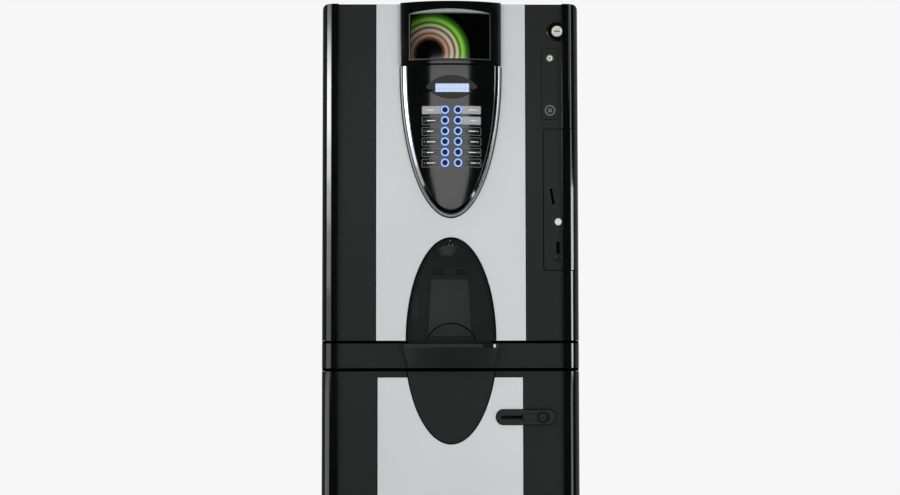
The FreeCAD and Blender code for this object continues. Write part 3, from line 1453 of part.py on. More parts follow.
def air_break_tank():
    """The closed water tank at the back of the plate."""
    low = f"{FLOOR_TOP} + tank_rise"
    y = ("plate_y + metal", "plate_y + metal + tank_depth")
    keep("air_break_tank", block(("-tank_left", "tank_width - tank_left"), y, (low, f"{low} + tank_height")))


def water_pump():
    """The pump on its foot, on the casing's floor."""
    x = ("-pump_left", "pump_length - pump_left")
    level = f"({FLOOR_TOP} + pump_rise)"
    body = rod("x", "pump_radius", x, ("pump_y", level))
    foot = block((f"{x[0]} + 15", f"{x[1]} - 15"), about("pump_y", "20"), (FLOOR_TOP, level))
    keep("water_pump", fuse(body, foot))


def power_box():
    """The power box, with the mains inlet through the casing's back."""
    x = ("power_left", "power_left + power_width")
    y = (f"{BACK} - metal - power_depth", f"{BACK} - metal")
    body = block(x, y, (FLOOR_TOP, f"{FLOOR_TOP} + power_height"))
    inlet = inlet_opening("0", (f"{BACK} - 2 * metal", BACK))
    pins = [rod("y", "2", (f"{BACK} - 8", f"{BACK} + 1"), spot) for spot in inlet_pins()]
    keep("power_box", cut(fuse(body, inlet), *pins))


def inlet_pins():
    """Three contact holes of the inlet."""
    x = "power_left + power_width / 2"
    z = f"{FLOOR_TOP} + inlet_rise"
    return [(f"{x} - 7", f"{z} - 3"), (x, f"{z} + 3"), (f"{x} + 7", f"{z} - 3")]


def cash_box():
    """The open cash box under the coin mechanism."""
    x = ("cash_left", "(cash_left + cash_width)")
    y = ("(-cash_front)", "(cash_depth - cash_front)")
    keep("cash_box", open_box(x, y, (FLOOR_TOP, f"({FLOOR_TOP} + cash_height)"), "metal"))


# in the base cabinet


def waste_bin():
    """The open bin for spent grounds."""
    x = ("(-bin_left)", "(bin_width - bin_left)")
    y = ("(-bin_front)", "(bin_depth - bin_front)")
    keep("waste_bin", open_box(x, y, (CABINET_FLOOR, f"({CABINET_FLOOR} + bin_height)"), "bin_wall"))


def liquid_tank():
    """The liquid waste tank: closed, with a round neck."""
    x = ("liquid_left", "(liquid_left + liquid_width)")
    y = ("(-bin_front)", "(bin_depth - bin_front)")
    top = f"({CABINET_FLOOR} + liquid_height)"
    inner_x = (f"{x[0]} + bin_wall", f"{x[1]} - bin_wall")
    inner_y = (f"{y[0]} + bin_wall", f"{y[1]} - bin_wall")
    inner = block(inner_x, inner_y, (f"{CABINET_FLOOR} + bin_wall", f"{top} - bin_wall"))
    middle = ("liquid_left + liquid_width / 2", "bin_depth / 2 - bin_front")
    neck = rod("z", "neck_radius", (f"{top} - bin_wall", f"{top} + neck_height"), middle)
    hole_z = (f"{top} - 2 * bin_wall", f"{top} + neck_height + 1")
    hole = rod("z", "neck_radius - bin_wall", hole_z, middle)
    keep("liquid_tank", cut(fuse(block(x, y, (CABINET_FLOOR, top)), neck), inner, hole))


STEPS = [
    levelling_feet,
    cabinet_carcass,
    casing_carcass,
    casing_top,
    band_moulding,
    fixed_hinges,
    upper_door,
    centre_panel,
    header_housing,
    screen_panel,
    control_rim,
    control_panel,
    lcd_display,
    push_buttons,
    bay_surround,
    bay_door,
    coin_plate,
    return_button,
    return_lever,
    door_lock,
    coin_mechanism,
    drip_tray,
    drip_grille,
    cabinet_door,
    cabinet_inlay,
    cabinet_crest,
    handle_plate,
    handle_lever,
    handle_lock,
    bay_liner,
    nozzle_head,
    bean_hopper,
    grinder,
    brew_unit,
    brew_piston,
    ingredient_canisters,
    augers,
    mixing_bowl,
    whisk,
    gear_motors,
    drink_hoses,
    boiler,
    air_break_tank,
    water_pump,
    power_box,
    cash_box,
    waste_bin,
    liquid_tank,
]


def write_parts():
    """Check every object, then write each sub-part to its own file."""
    for thing in doc.Objects:
        if "Invalid" in thing.State or "Error" in thing.State:
            raise RuntimeError(f"{thing.Name} ({thing.Label}) failed: {thing.State}")
    os.makedirs("parts", exist_ok=True)
    for name, thing in PARTS.items():
        shape = thing.Shape
        if shape.isNull() or not shape.isValid() or not shape.Solids:
            raise RuntimeError(f"{name} has no valid solid")
        shape.exportStep(f"parts/{name}.step")
        print(name, len(shape.Solids), round(shape.Volume))


for step in STEPS:
    step()
doc.recompute()
write_parts()
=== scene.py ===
"""The looks of a free-standing bean-to-cup coffee machine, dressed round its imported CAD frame.

Metres. X to the right, Y to the back, Z up, from the middle of the footprint on the floor.
"""

import json
import math

import bmesh
import bpy
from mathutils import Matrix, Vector

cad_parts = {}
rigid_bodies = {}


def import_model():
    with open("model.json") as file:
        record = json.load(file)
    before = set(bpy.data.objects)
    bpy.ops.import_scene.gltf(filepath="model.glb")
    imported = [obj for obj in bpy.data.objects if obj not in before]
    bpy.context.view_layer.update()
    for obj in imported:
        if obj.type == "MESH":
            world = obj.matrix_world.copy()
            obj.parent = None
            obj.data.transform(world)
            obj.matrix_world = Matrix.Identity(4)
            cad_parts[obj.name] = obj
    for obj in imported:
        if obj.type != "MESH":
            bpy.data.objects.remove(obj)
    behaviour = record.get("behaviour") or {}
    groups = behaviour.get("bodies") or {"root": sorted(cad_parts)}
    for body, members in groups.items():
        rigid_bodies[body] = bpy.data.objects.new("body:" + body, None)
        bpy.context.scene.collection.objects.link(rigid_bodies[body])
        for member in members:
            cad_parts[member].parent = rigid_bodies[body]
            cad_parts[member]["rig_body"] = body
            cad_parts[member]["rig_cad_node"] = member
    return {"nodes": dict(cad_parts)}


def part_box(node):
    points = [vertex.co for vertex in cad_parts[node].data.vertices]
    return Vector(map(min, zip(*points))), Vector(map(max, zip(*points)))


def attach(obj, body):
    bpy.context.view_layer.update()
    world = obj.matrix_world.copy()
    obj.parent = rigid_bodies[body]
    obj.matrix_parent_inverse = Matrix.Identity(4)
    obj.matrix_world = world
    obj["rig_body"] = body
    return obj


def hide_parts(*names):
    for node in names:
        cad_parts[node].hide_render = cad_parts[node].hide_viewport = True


bl_info = {
    "name": "Bean-to-cup coffee machine",
    "version": (1, 0, 0),
    "blender": (4, 5, 0),
    "location": "View3D > Sidebar > Coffee machine",
    "description": "Dresses the frame of a coffee machine and sets its stage",
    "category": "Object",
}

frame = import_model()

MM = 0.001
SMALL = 0.02 * MM
UPPER = "upper_door_leaf"
LOWER = "cabinet_door_leaf"
FINISHES = {}


def linear(code):
    """An sRGB hex colour as linear red, green and blue."""
    parts = [int(code[i : i + 2], 16) / 255 for i in (1, 3, 5)]
    return [p / 12.92 if p <= 0.04045 else ((p + 0.055) / 1.055) ** 2.4 for p in parts]


def middle(name):
    """The middle of a CAD node's box."""
    low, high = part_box(name)
    return (low + high) / 2


def ends_of(name):
    """The two ends of a CAD node's box on x, y and z."""
    return tuple(zip(*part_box(name)))


def mid(ends):
    """Halfway between two ends."""
    return (ends[0] + ends[1]) / 2


def around(spot, half):
    """The two ends at a distance either side of a place."""
    return spot - half, spot + half


def grown(ends, step):
    """Two ends, each moved outwards by a step."""
    return ends[0] - step, ends[1] + step


# planes and levels, read from the frame
DOOR_X, DOOR_Y, DOOR_Z = ends_of("upper_door")
SIDE = DOOR_X[1]
PILLAR_FACE = DOOR_Y[0]
FOOT, TOP = DOOR_Z
FACE, SATIN = ends_of("centre_panel")[1]
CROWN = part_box("header_housing")[0].y
INLAY_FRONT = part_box("cabinet_inlay")[0].y
HINGE_Y = DOOR_Y[1] - 4.2 * MM
DOOR_BACK = HINGE_Y - 5 * MM
PANEL_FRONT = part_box("button_01")[0].y + 1.6 * MM


def size(name, metres, text):
    """A length that a user can change."""
    return bpy.props.FloatProperty(name=name, description=text, default=metres, unit="LENGTH")


def colour(name, code, text):
    """A colour that a user can change."""
    return bpy.props.FloatVectorProperty(
        name=name, description=text, default=linear(code), subtype="COLOR", min=0, max=1
    )


class MachineSizes(bpy.types.PropertyGroup):
    """Lengths of the dressed pieces that the frame's boxes don't give."""

    pillar_radius: size("Pillar radius", 28 * MM, "Radius of a pillar's outer corner")
    pillar_width: size("Pillar width", 36 * MM, "From the machine's side to the satin wall")
    pillar_edge: size("Pillar edge", 0.35 * MM, "Radius of a pillar's inner edge")
    shoulder: size("Shoulder", 11 * MM, "Radius of the upper door's top corners")
    corner: size("Corner", 1.2 * MM, "Radius of the other corners of doors and band")
    wall: size("Wall", 3 * MM, "Wall of a moulding")
    edge: size("Edge", 1.2 * MM, "Radius of a moulding's edges")
    # painted light: the crescent over the screen is pale grey, for the header lip's underside lit from
    # below
    screen_hood: size("Screen hood", 7.5 * MM, "Height of the light crescent over the screen")
    bezel_half: size("Bezel half", 53.5 * MM, "Half the length of the display's bezel")
    bezel_rise: size("Bezel rise", 24.4 * MM, "Half the height of the display's bezel")
    bezel_proud: size("Bezel proud", 2 * MM, "How far the display's bezel stands out")
    label_length: size("Label length", 48 * MM, "Length of a drink's label plate")
    label_height: size("Label height", 17.6 * MM, "Height of a drink's label plate")
    label_line: size("Label line", 0.9 * MM, "Width of a label's outline")
    # the dark joint is painted shade: a near-black line round inset plates, the rim and the crest
    groove: size("Groove", 1.8 * MM, "Width of the dark joint round an inset plate")


class MachineColours(bpy.types.PropertyGroup):
    """Colours of the main finishes."""

    gloss: colour("Gloss", "#070808", "High-gloss moulded pillars, header and panel")
    satin: colour("Satin", "#1d1e1e", "Satin wall panels of doors and band")
    silver: colour("Silver", "#b8babb", "Painted sheet of the centre panel and the inlay")
    chrome: colour("Chrome", "#777a7d", "Rim round the control panel")
    display: colour("Display", "#bcd2f2", "Backlight of the two-line display")


class StageSettings(bpy.types.PropertyGroup):
    """Light and camera."""

    lens: bpy.props.FloatProperty(name="Lens", description="Focal length in mm", default=45.11)
    fill: bpy.props.FloatProperty(name="Fill", description="Light from all round", default=0.45)
    key: bpy.props.FloatProperty(name="Key", description="Brightness of the front softbox", default=2.6)
    strips: bpy.props.FloatProperty(name="Strips", description="Brightness at the sides", default=3)
    pale: colour("Pale", "#f7f7f7", "Floor and background")


# modelling by hand


def leave_edit():
    if bpy.context.object and bpy.context.object.mode != "OBJECT":
        bpy.ops.object.mode_set(mode="OBJECT")


def let_go():
    """Leave edit mode and select nothing."""
    leave_edit()
    bpy.ops.object.select_all(action="DESELECT")


def only(piece):
    """Make one object the only selected and active one."""
    let_go()
    piece.select_set(True)
    bpy.context.view_layer.objects.active = piece


def edit(piece):
    """Open one object in edit mode, with all of it selected."""
    only(piece)
    bpy.ops.object.mode_set(mode="EDIT")
    bpy.ops.mesh.select_all(action="SELECT")


def settle(piece, name):
    """Name an object, and put its place, turn and scale into its mesh."""
    only(piece)
    bpy.ops.object.transform_apply(location=True, rotation=True, scale=True)
    piece.name = name
    piece.data.name = name
    return piece


def block(name, x, y, z):
    """A box between two ends on each axis."""
    let_go()
    centre = [mid(ends) for ends in (x, y, z)]
    spans = [b - a for a, b in (x, y, z)]
    bpy.ops.mesh.primitive_cube_add(size=1, location=centre, scale=spans)
    return settle(bpy.context.object, name)


TURNS = {"y": (math.pi / 2, 0, 0), "z": (0, 0, 0)}


def rod(name, way, radius, ends, spot, steps=64, squeeze=1.0):
    """A round bar along y or z; squeeze makes its section an upright oval of that height."""
    let_go()
    half = mid(ends)
    place_of = {"y": (spot[0], half, spot[1]), "z": (*spot, half)}
    bpy.ops.mesh.primitive_cylinder_add(
        vertices=steps,
        radius=radius,
        depth=ends[1] - ends[0],
        location=place_of[way],
        rotation=TURNS[way],
        scale=(1, squeeze, 1),
    )
    return settle(bpy.context.object, name)


def oval(name, half_width, half_height, y, spot, steps=160):
    """A thick upright elliptical plate."""
    return rod(name, "y", half_width, y, spot, steps, half_height / half_width)


def bow_radius(half, rise):
    """The radius of an arc that falls back by rise at half either side."""
    return (half**2 + rise**2) / (2 * rise)


def drum(half, rise, crest, z, x):
    """A tall drum that touches crest in front and falls back by rise at half either side."""
    radius = bow_radius(half, rise)
    return rod("drum", "z", radius, z, (x, crest + radius), steps=360)


def modified(piece, kind, **settings):
    """Apply one modifier with its settings."""
    step = piece.modifiers.new(kind, kind)
    for name, value in settings.items():
        setattr(step, name, value)
    only(piece)
    bpy.ops.object.modifier_apply(modifier=step.name)
    return piece


def combine(piece, others, operation):
    """Apply a boolean with each of the other objects, and delete them."""
    for other in others:
        modified(piece, "BOOLEAN", operation=operation, solver="EXACT", object=other)
        bpy.data.objects.remove(other)
    return piece


def carve(piece, *cutters):
    return combine(piece, cutters, "DIFFERENCE")


def trim(piece, *limits):
    return combine(piece, limits, "INTERSECT")


def weld(piece, *others):
    return combine(piece, others, "UNION")


def pick(piece, test, kind="VERT"):
    """In edit mode, select the vertices, edges or faces that pass a test."""
    if piece.mode != "EDIT":
        edit(piece)
    bpy.ops.mesh.select_mode(type=kind)
    bpy.ops.mesh.select_all(action="DESELECT")
    shape = bmesh.from_edit_mesh(piece.data)
    shape.normal_update()
    parts = {"VERT": shape.verts, "EDGE": shape.edges, "FACE": shape.faces}[kind]
    chosen = [part for part in parts if test(part)]
    if not chosen:
        raise RuntimeError(f"nothing was selected on {piece.name}")
    for part in chosen:
        part.select_set(True)
    shape.select_flush_mode()
    bmesh.update_edit_mesh(piece.data)


def at(axis, level):
    """A test for vertices at a level on an axis."""
    return lambda vertex: abs(getattr(vertex.co, axis) - level) < SMALL


def along(axis):
    """A test for edges that run along an axis."""

    def runs(edge):
        way = (edge.verts[0].co - edge.verts[1].co).normalized()
        return abs(getattr(way, axis)) > 0.9

    return runs


def edges_at(axis, level, way):
    """A test for edges at a level on one axis that run along another."""
    here, runs = at(axis, level), along(way)
    return lambda edge: all(here(vertex) for vertex in edge.verts) and runs(edge)


def centre_of(part):
    """The middle of an edge or face."""
    points = [vertex.co for vertex in part.verts]
    return sum(points, Vector()) / len(points)


def stretch(piece, test, scale, centre):
    """Scale the vertices that pass a test about a point."""
    pick(piece, test)
    bpy.ops.transform.resize(value=scale, center_override=centre)
    leave_edit()


def round_picked(piece, test, width, segments):
    """Round the edges that pass a test."""
    pick(piece, test, "EDGE")
    bpy.ops.mesh.bevel(offset=width, segments=segments, affect="EDGES")
    leave_edit()


def round_corners(plate, radius):
    """Round a plate's four corners, seen from the front."""
    round_picked(plate, along("y"), radius, 4)


def round_edges(piece, width, segments=2, angle=40):
    """Round every edge that is sharper than an angle."""
    limit = math.radians(angle)
    return modified(
        piece, "BEVEL", width=width, segments=segments, limit_method="ANGLE", angle_limit=limit
    )


def delete_faces(piece, test):
    """Delete the faces that pass a test."""
    pick(piece, test, "FACE")
    bpy.ops.mesh.delete(type="FACE")
    leave_edit()


def face_outwards():
    """In edit mode, turn all faces outwards."""
    bpy.ops.mesh.select_all(action="SELECT")
    bpy.ops.mesh.normals_make_consistent(inside=False)


def hoop(name, radius, bore, y, spot, steps=64, bore_steps=None):
    """A flat round ring that faces the front."""
    ring = rod(name, "y", radius, y, spot, steps)
    return carve(ring, rod("hole", "y", bore, grown(y, MM), spot, bore_steps or steps))


def smooth(piece, angle=32):
    """Smooth shading, kept flat across large flat faces."""
    only(piece)
    bpy.ops.object.shade_smooth_by_angle(angle=math.radians(angle))
    return modified(piece, "WEIGHTED_NORMAL", keep_sharp=True)


def place(piece, body, finish_name, slot, *nodes):
    """Give a finished piece its finish, its body, and the CAD nodes that it stands for."""
    only(piece)
    if finish_name:
        piece.data.materials.clear()
        piece.data.materials.append(FINISHES[finish_name])
    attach(piece, body)
    if nodes:
        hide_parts(*nodes)
    return piece


def dress(piece, body, finish_name, slot, *nodes):
    """Smooth a piece and place it."""
    return place(smooth(piece), body, finish_name, slot, *nodes)


def copy_of(piece, name, offset):
    """A copy with its own mesh, moved by an offset."""
    made = piece.copy()
    made.data = piece.data.copy()
    bpy.context.scene.collection.objects.link(made)
    made.parent = None
    made.location = offset
    return settle(made, name)


def dressed_copy(source, width, segments=2):
    """A copy of a CAD node with its triangles merged, flat faces joined and sharp edges rounded."""
    piece = frame["nodes"][source].copy()
    piece.data = piece.data.copy()
    bpy.context.scene.collection.objects.link(piece)
    piece.parent = None
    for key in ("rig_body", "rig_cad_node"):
        if key in piece:
            del piece[key]
    piece.hide_render = False
    piece.hide_viewport = False
    piece.hide_set(False)
    settle(piece, f"{source}_dressed")
    edit(piece)
    bpy.ops.mesh.customdata_custom_splitnormals_clear()
    bpy.ops.mesh.remove_doubles(threshold=0.003 * MM)
    bpy.ops.mesh.dissolve_limited(angle_limit=math.radians(0.5))
    leave_edit()
    if width:
        round_edges(piece, width, segments)
    return smooth(piece)


def pressed_line(source, name, proud, growth, foot, slot):
    """Painted shade: the dark line of the joint round a piece on the cabinet door, made of the piece
    itself, grown and pressed flat.

    It stands proud of the inlay, and grows on x and z from the piece's middle and from foot.
    """
    x, y, z = ends_of(source)
    line = dressed_copy(source, 0)
    line.name = name
    wide = x[1] - x[0]
    tall = z[1] - z[0]
    press = (y[1] - INLAY_FRONT + proud) / (y[1] - y[0])
    scale = ((wide + growth[0]) / wide, press, (tall + growth[1]) / tall)
    edit(line)
    bpy.ops.transform.resize(value=scale, center_override=(mid(x), y[1], foot))
    leave_edit()
    place(line, LOWER, "joint", slot)


def trace(name, points):
    """A line of edges through (x, y) points, drawn by extruding one corner at a time."""
    let_go()
    bpy.ops.mesh.primitive_plane_add(size=1 * MM, location=(0, 0, 0))
    piece = bpy.context.object
    bpy.ops.object.mode_set(mode="EDIT")
    bpy.ops.mesh.select_mode(type="VERT")
    bpy.ops.mesh.select_all(action="SELECT")
    bpy.ops.mesh.merge(type="CENTER")
    bpy.ops.transform.translate(value=(*points[0], 0))
    for last, this in zip(points, points[1:]):
        step = (this[0] - last[0], this[1] - last[1], 0)
        bpy.ops.mesh.extrude_vertices_move(TRANSFORM_OT_translate={"value": step})
    leave_edit()
    piece.name = name
    piece.data.name = name
    return piece


def arc(spot, radius, start, end, steps):
    """Points on an arc, with angles in degrees from +x towards +y."""
    angles = [math.radians(start + (end - start) * i / steps) for i in range(steps + 1)]
    return [(spot[0] + radius * math.cos(a), spot[1] + radius * math.sin(a)) for a in angles]


# materials


def node(tree, kind, inputs=None, **settings):
    """Add a node with its settings; an input is a value, or the socket that feeds it."""
    made = tree.nodes.new(f"ShaderNode{kind}")
    for name, value in settings.items():
        setattr(made, name, value)
    for name, value in (inputs or {}).items():
        if isinstance(value, bpy.types.NodeSocket):
            tree.links.new(value, made.inputs[name])
        else:
            made.inputs[name].default_value = value
    return made


def maths(tree, operation, first, second):
    """One sum of two values or sockets."""
    return node(tree, "Math", {0: first, 1: second}, operation=operation).outputs[0]


def multiply(tree, first, second):
    """Two colours multiplied."""
    inputs = {6: first, 7: second, 0: 1.0}
    return node(tree, "Mix", inputs, data_type="RGBA", blend_type="MULTIPLY").outputs[2]


def ramp(tree, source, stops):
    """A colour ramp with (place, grey or colour) stops."""
    made = node(tree, "ValToRGB", {"Fac": source})
    band = made.color_ramp
    while len(band.elements) > 1:
        band.elements.remove(band.elements[0])
    for i, (spot, value) in enumerate(stops):
        element = band.elements[0] if i == 0 else band.elements.new(spot)
        element.position = spot
        element.color = (*value, 1) if isinstance(value, (tuple, list)) else (value, value, value, 1)
    return made.outputs["Color"]


def bare(name):
    """A new material with an empty tree."""
    made = bpy.data.materials.new(name)
    made.use_nodes = True
    made.node_tree.nodes.clear()
    return made, made.node_tree


def finish(name, base, roughness, **sockets):
    """A material with one shader and its object coordinates."""
    made, tree = bare(name)
    shader = node(tree, "BsdfPrincipled", {"Base Color": (*base, 1), "Roughness": roughness})
    for title, value in sockets.items():
        shader.inputs[title.replace("_", " ")].default_value = value
    node(tree, "OutputMaterial", {"Surface": shader.outputs["BSDF"]})
    return made, tree, shader, node(tree, "TexCoord").outputs["Object"]


def pattern(tree, kind, where, width, output, **inputs):
    """A texture whose features are this many millimetres wide."""
    return node(tree, kind, {"Vector": where, "Scale": 1 / (width * MM), **inputs}).outputs[output]


def emboss(tree, shader, height, depth, strength):
    """Raise the surface by a pattern, to a depth in millimetres."""
    bump = node(tree, "Bump", {"Height": height, "Distance": depth * MM, "Strength": strength})
    tree.links.new(bump.outputs["Normal"], shader.inputs["Normal"])


def surface(name, base, roughness, grain, drift=None, **sockets):
    """One shader with a fine relief that keeps it from looking like glass.

    Grain is its width and depth in millimetres and its strength. Drift is the width in
    millimetres of the patches over which the roughness goes from one value to another.
    """
    made, tree, shader, where = finish(name, base, roughness, **sockets)
    width, depth, strength = grain
    emboss(tree, shader, pattern(tree, "TexNoise", where, width, "Fac", Detail=2.0), depth, strength)
    if drift:
        patch, low, high = drift
        patches = pattern(tree, "TexNoise", where, patch, "Fac", Detail=4.0)
        tree.links.new(ramp(tree, patches, [(0.3, low), (0.7, high)]), shader.inputs["Roughness"])
    return made


def moulded(name, code, roughness, width=1.5, depth=0.03, **sockets):
    """Moulded plastic of one colour, with a fine grain."""
    drift = (50, roughness * 0.88, roughness * 1.12)
    return surface(name, linear(code), roughness, (width, depth, 0.6), drift, **sockets)


def plain(name, code, roughness, **sockets):
    """A small moulded detail in one colour, with a finer grain."""
    return moulded(name, code, roughness, 0.9, 0.02, **sockets)


def silver_sheet(looks):
    """Sheet steel under silver metallic paint: an even soft grey with a fine flake, 0.8 mm as drawn."""
    made, tree, shader, where = finish(
        "Silver paint", looks.silver, 0.5, Metallic=0.12, Specular_IOR_Level=0.3
    )
    flake = pattern(tree, "TexVoronoi", where, 0.8, "Distance")
    tint = ramp(tree, flake, [(0.0, 0.96), (1.0, 1.04)])
    drift = pattern(tree, "TexNoise", where, 240, "Fac", Detail=1.0)
    shade = ramp(tree, drift, [(0.3, 0.97), (0.7, 1.02)])
    paint = multiply(tree, multiply(tree, tint, shade), (*looks.silver, 1))
    tree.links.new(paint, shader.inputs["Base Color"])
    emboss(tree, shader, flake, 0.01, 0.4)
    return made


def zinc_sheet():
    """Zinc-plated steel, rolled: a dull metal with soft spangles 9 mm wide."""
    made, tree, shader, where = finish("Zinc plate", linear("#a4a8ab"), 0.4, Metallic=1.0)
    cells = pattern(tree, "TexVoronoi", where, 9, "Color")
    tree.links.new(ramp(tree, cells, [(0, 0.32), (1, 0.5)]), shader.inputs["Roughness"])
    return made


def brushed(name, code, roughness, across=(1, 1, 30)):
    """Brushed metal: fine lines 0.7 mm apart, stretched along the grain."""
    made, tree, shader, where = finish(name, linear(code), roughness, Metallic=1.0)
    along_grain = node(tree, "Mapping", {"Vector": where, "Scale": across}).outputs["Vector"]
    lines = pattern(tree, "TexNoise", along_grain, 20, "Fac", Detail=3.0)
    emboss(tree, shader, lines, 0.01, 0.5)
    band = ramp(tree, lines, [(0.3, roughness * 0.8), (0.7, roughness * 1.2)])
    tree.links.new(band, shader.inputs["Roughness"])
    return made


def clear_plastic(name, code):
    """Clear moulded plastic, a little hazy, with flow marks 25 mm wide."""
    return surface(name, linear(code), 0.12, (25, 0.03, 1.0), IOR=1.5, Transmission_Weight=0.92)


def glow(name, code, strength):
    """A moulded light guide, lit from behind: the edge of each patch is a little dimmer."""
    made, tree, shader, where = finish(name, linear("#10131c"), 0.25, Emission_Strength=strength)
    patches = pattern(tree, "TexNoise", where, 4, "Fac", Detail=1.0)
    low = [c * 0.85 for c in linear(code)]
    light = ramp(tree, patches, [(0.3, low), (0.7, linear(code))])
    tree.links.new(light, shader.inputs["Emission Color"])
    return made


def display_glass(looks):
    """The display's glass: a pale blue backlight with two rows of faint character cells."""
    made, tree, shader, where = finish("Display glass", linear("#10151f"), 0.12, Emission_Strength=0.95)
    axes = node(tree, "SeparateXYZ", {"Vector": where})
    column = 3.4 * MM
    row = 1.5 * column
    columns = maths(tree, "PINGPONG", axes.outputs["X"], column)
    rows = maths(tree, "PINGPONG", axes.outputs["Z"], row)
    level = maths(tree, "MULTIPLY", maths(tree, "MULTIPLY", columns, rows), 1 / (row * column))
    dim = [c * 0.8 for c in looks.display]
    light = ramp(tree, level, [(0.1, tuple(looks.display)), (0.6, dim)])
    tree.links.new(light, shader.inputs["Emission Color"])
    return made


SCREEN_RINGS = (
    (0.0, "#000000"),
    (0.3, "#020100"),
    (0.36, "#6d4a35"),
    (0.43, "#e0b79a"),
    (0.48, "#7a5a42"),
    (0.55, "#f2dccb"),
    (0.62, "#4a3a28"),
    (0.68, "#dfe8b0"),
    (0.74, "#3c5a1c"),
    (0.81, "#8fd84a"),
    (0.9, "#2f6a18"),
    (1.0, "#000000"),
)


def picture_screen():
    """The picture screen: black glass, with generic rings of cream and green light at its left."""
    made, tree, shader, where = finish("Picture screen", linear("#020202"), 0.06, Emission_Strength=0.85)
    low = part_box("screen_panel")[0]
    hub = (low.x + 40 * MM, 0, low.z + 8 * MM)
    flat = node(tree, "VectorMath", {0: where, 1: (1, 0, 1)}, operation="MULTIPLY")
    away = node(tree, "VectorMath", {0: flat.outputs[0], 1: hub}, operation="DISTANCE")
    reach = maths(tree, "DIVIDE", away.outputs["Value"], 86 * MM)
    light = ramp(tree, reach, [(spot, linear(code)) for spot, code in SCREEN_RINGS])
    across = node(tree, "SeparateXYZ", {"Vector": where}).outputs["X"]
    fade = node(tree, "MapRange", {"Value": across, 1: low.x, 2: low.x + 120 * MM, 3: 0.1, 4: 1.0})
    tree.links.new(multiply(tree, light, fade.outputs[0]), shader.inputs["Emission Color"])
    return made


def make_finishes(looks):
    """Make every material once."""
    FINISHES.update(
        # near black, with a sharp reflection that wavers a little
        gloss=surface("Gloss ABS", looks.gloss, 0.09, (22, 0.012, 1.0), (60, 0.07, 0.12), IOR=1.5),
        # a soft dark sheen: spark-eroded grain, drawn 1.1 mm wide so that it shows
        satin=surface(
            "Satin ABS", looks.satin, 0.46, (1.1, 0.03, 0.5), (90, 0.42, 0.5), Specular_IOR_Level=0.12
        ),
        silver=silver_sheet(looks),
        # vacuum-metallised: a bright mirror with a faint orange peel 5 mm wide
        chrome=surface("Chrome", looks.chrome, 0.07, (5, 0.01, 1.0), (30, 0.05, 0.09), Metallic=1.0),
        # matt, with an orange peel 2 mm wide
        casing=surface(
            "Black powder coat", linear("#1b1c1d"), 0.5, (2, 0.06, 0.6), (120, 0.45, 0.58), IOR=1.5
        ),
        zinc=zinc_sheet(),
        # the bay's dark grey walls and its lighter plate, which show through the flap
        bay=moulded("Bay lining ABS", "#565959", 0.4),
        splash=moulded("Splash plate ABS", "#b4b8b8", 0.45),
        # painted shade: the near black of shade in open joints, gaps, slots and recesses, also used for
        # the sensor's dark windows
        joint=plain("Joint shadow", "#020202", 0.8, Specular_IOR_Level=0.05),
        bezel=plain("Bezel ABS", "#1b1c1c", 0.5, Specular_IOR_Level=0.3),
        # a dark tint to look through, with a hard gloss on its face
        smoked=surface(
            "Smoked acrylic", linear("#121313"), 0.04, (40, 0.006, 1.0), IOR=1.49, Alpha=0.42
        ),
        screen=picture_screen(),
        # painted light: a pale grey that stands for the black lip's underside over the screen, lit from
        # below
        hood=plain("Screen hood", "#818a86", 0.35),
        frame=plain("Screen frame", "#1d1e1e", 0.5),
        red=plain("Red enamel", "#b02424", 0.3),
        green=plain("Green enamel", "#1f7a3d", 0.3),
        display=display_glass(looks),
        # the buttons' pale blue rings, deeper blue towards their edges
        ring=glow("Light ring", "#93bdfb", 1.3),
        ring_inner=glow("Blue glow", "#1f3cb8", 1.0),
        cap=plain("Button cap", "#090b16", 0.4, Specular_IOR_Level=0.2),
        label=plain("Label film", "#0c0d0d", 0.16),
        label_light=plain("Grey label film", "#8d9091", 0.3),
        line=plain("Label line", "#5c5f60", 0.4),
        mark=plain("Label mark", "#d8dadb", 0.4),
        white=moulded("White ABS", "#c2c4c4", 0.35),
        knob=moulded("Knob ABS", "#050505", 0.36),
        handle=moulded("Handle ABS", "#1d1e1e", 0.42, Specular_IOR_Level=0.25),
        lock=plain("Nickel plate", "#cbc7ba", 0.32, Metallic=0.25),
        steel=brushed("Stainless steel", "#b4b6b7", 0.3, (1, 30, 1)),
        tray=moulded("Tray ABS", "#121313", 0.46, Specular_IOR_Level=0.13),
        # painted highlight: a lighter copy of the tray's black, for the top bevel that faces up and
        # forward into the light
        ledge=moulded("Tray ledge painted highlight", "#1f2020", 0.45, Specular_IOR_Level=0.3),
        grey=moulded("Works ABS", "#6f7376", 0.5),
        off_white=moulded("Works nylon", "#d5d3cb", 0.5),
        clear=clear_plastic("Clear hopper plastic", "#d9dcdc"),
        silicone=clear_plastic("Silicone hose", "#e8e8e4"),
        brass=brushed("Brass", "#b08d4f", 0.32),
        motor=brushed("Motor steel", "#8f9294", 0.35),
        rubber=moulded("Foot rubber", "#141414", 0.8),
    )


def repaint(finish_name, *names):
    """Give CAD nodes that stay a finish, through their material slots."""
    for name in names:
        thing = frame["nodes"][name]
        if not thing.material_slots:
            raise RuntimeError(f"{name} has no material slot")
        for holder in thing.material_slots:
            holder.link = "OBJECT"
            holder.material = FINISHES[finish_name]


class MACHINE_OT_finishes(bpy.types.Operator):
    """Make every material of the machine"""

    bl_idname = "machine.finishes"
    bl_label = "Finishes"

    def execute(self, context):
        make_finishes(context.scene.machine_colours)
        return {"FINISHED"}


# mouldings


def front_line(sizes, start, lift, steps):
    """A moulding's front from start out to its side, lifted off it; steps are those of its two bends."""
    inner = SIDE - sizes.pillar_width - lift
    edge = sizes.pillar_edge
    radius = sizes.pillar_radius
    points = [(start, SATIN - lift), (inner, SATIN - lift)]
    points += arc((inner + edge, PILLAR_FACE - lift + edge), edge, 180, 270, steps[0])
    return points + arc((SIDE - radius, PILLAR_FACE + radius), radius + lift, 270, 360, steps[1])


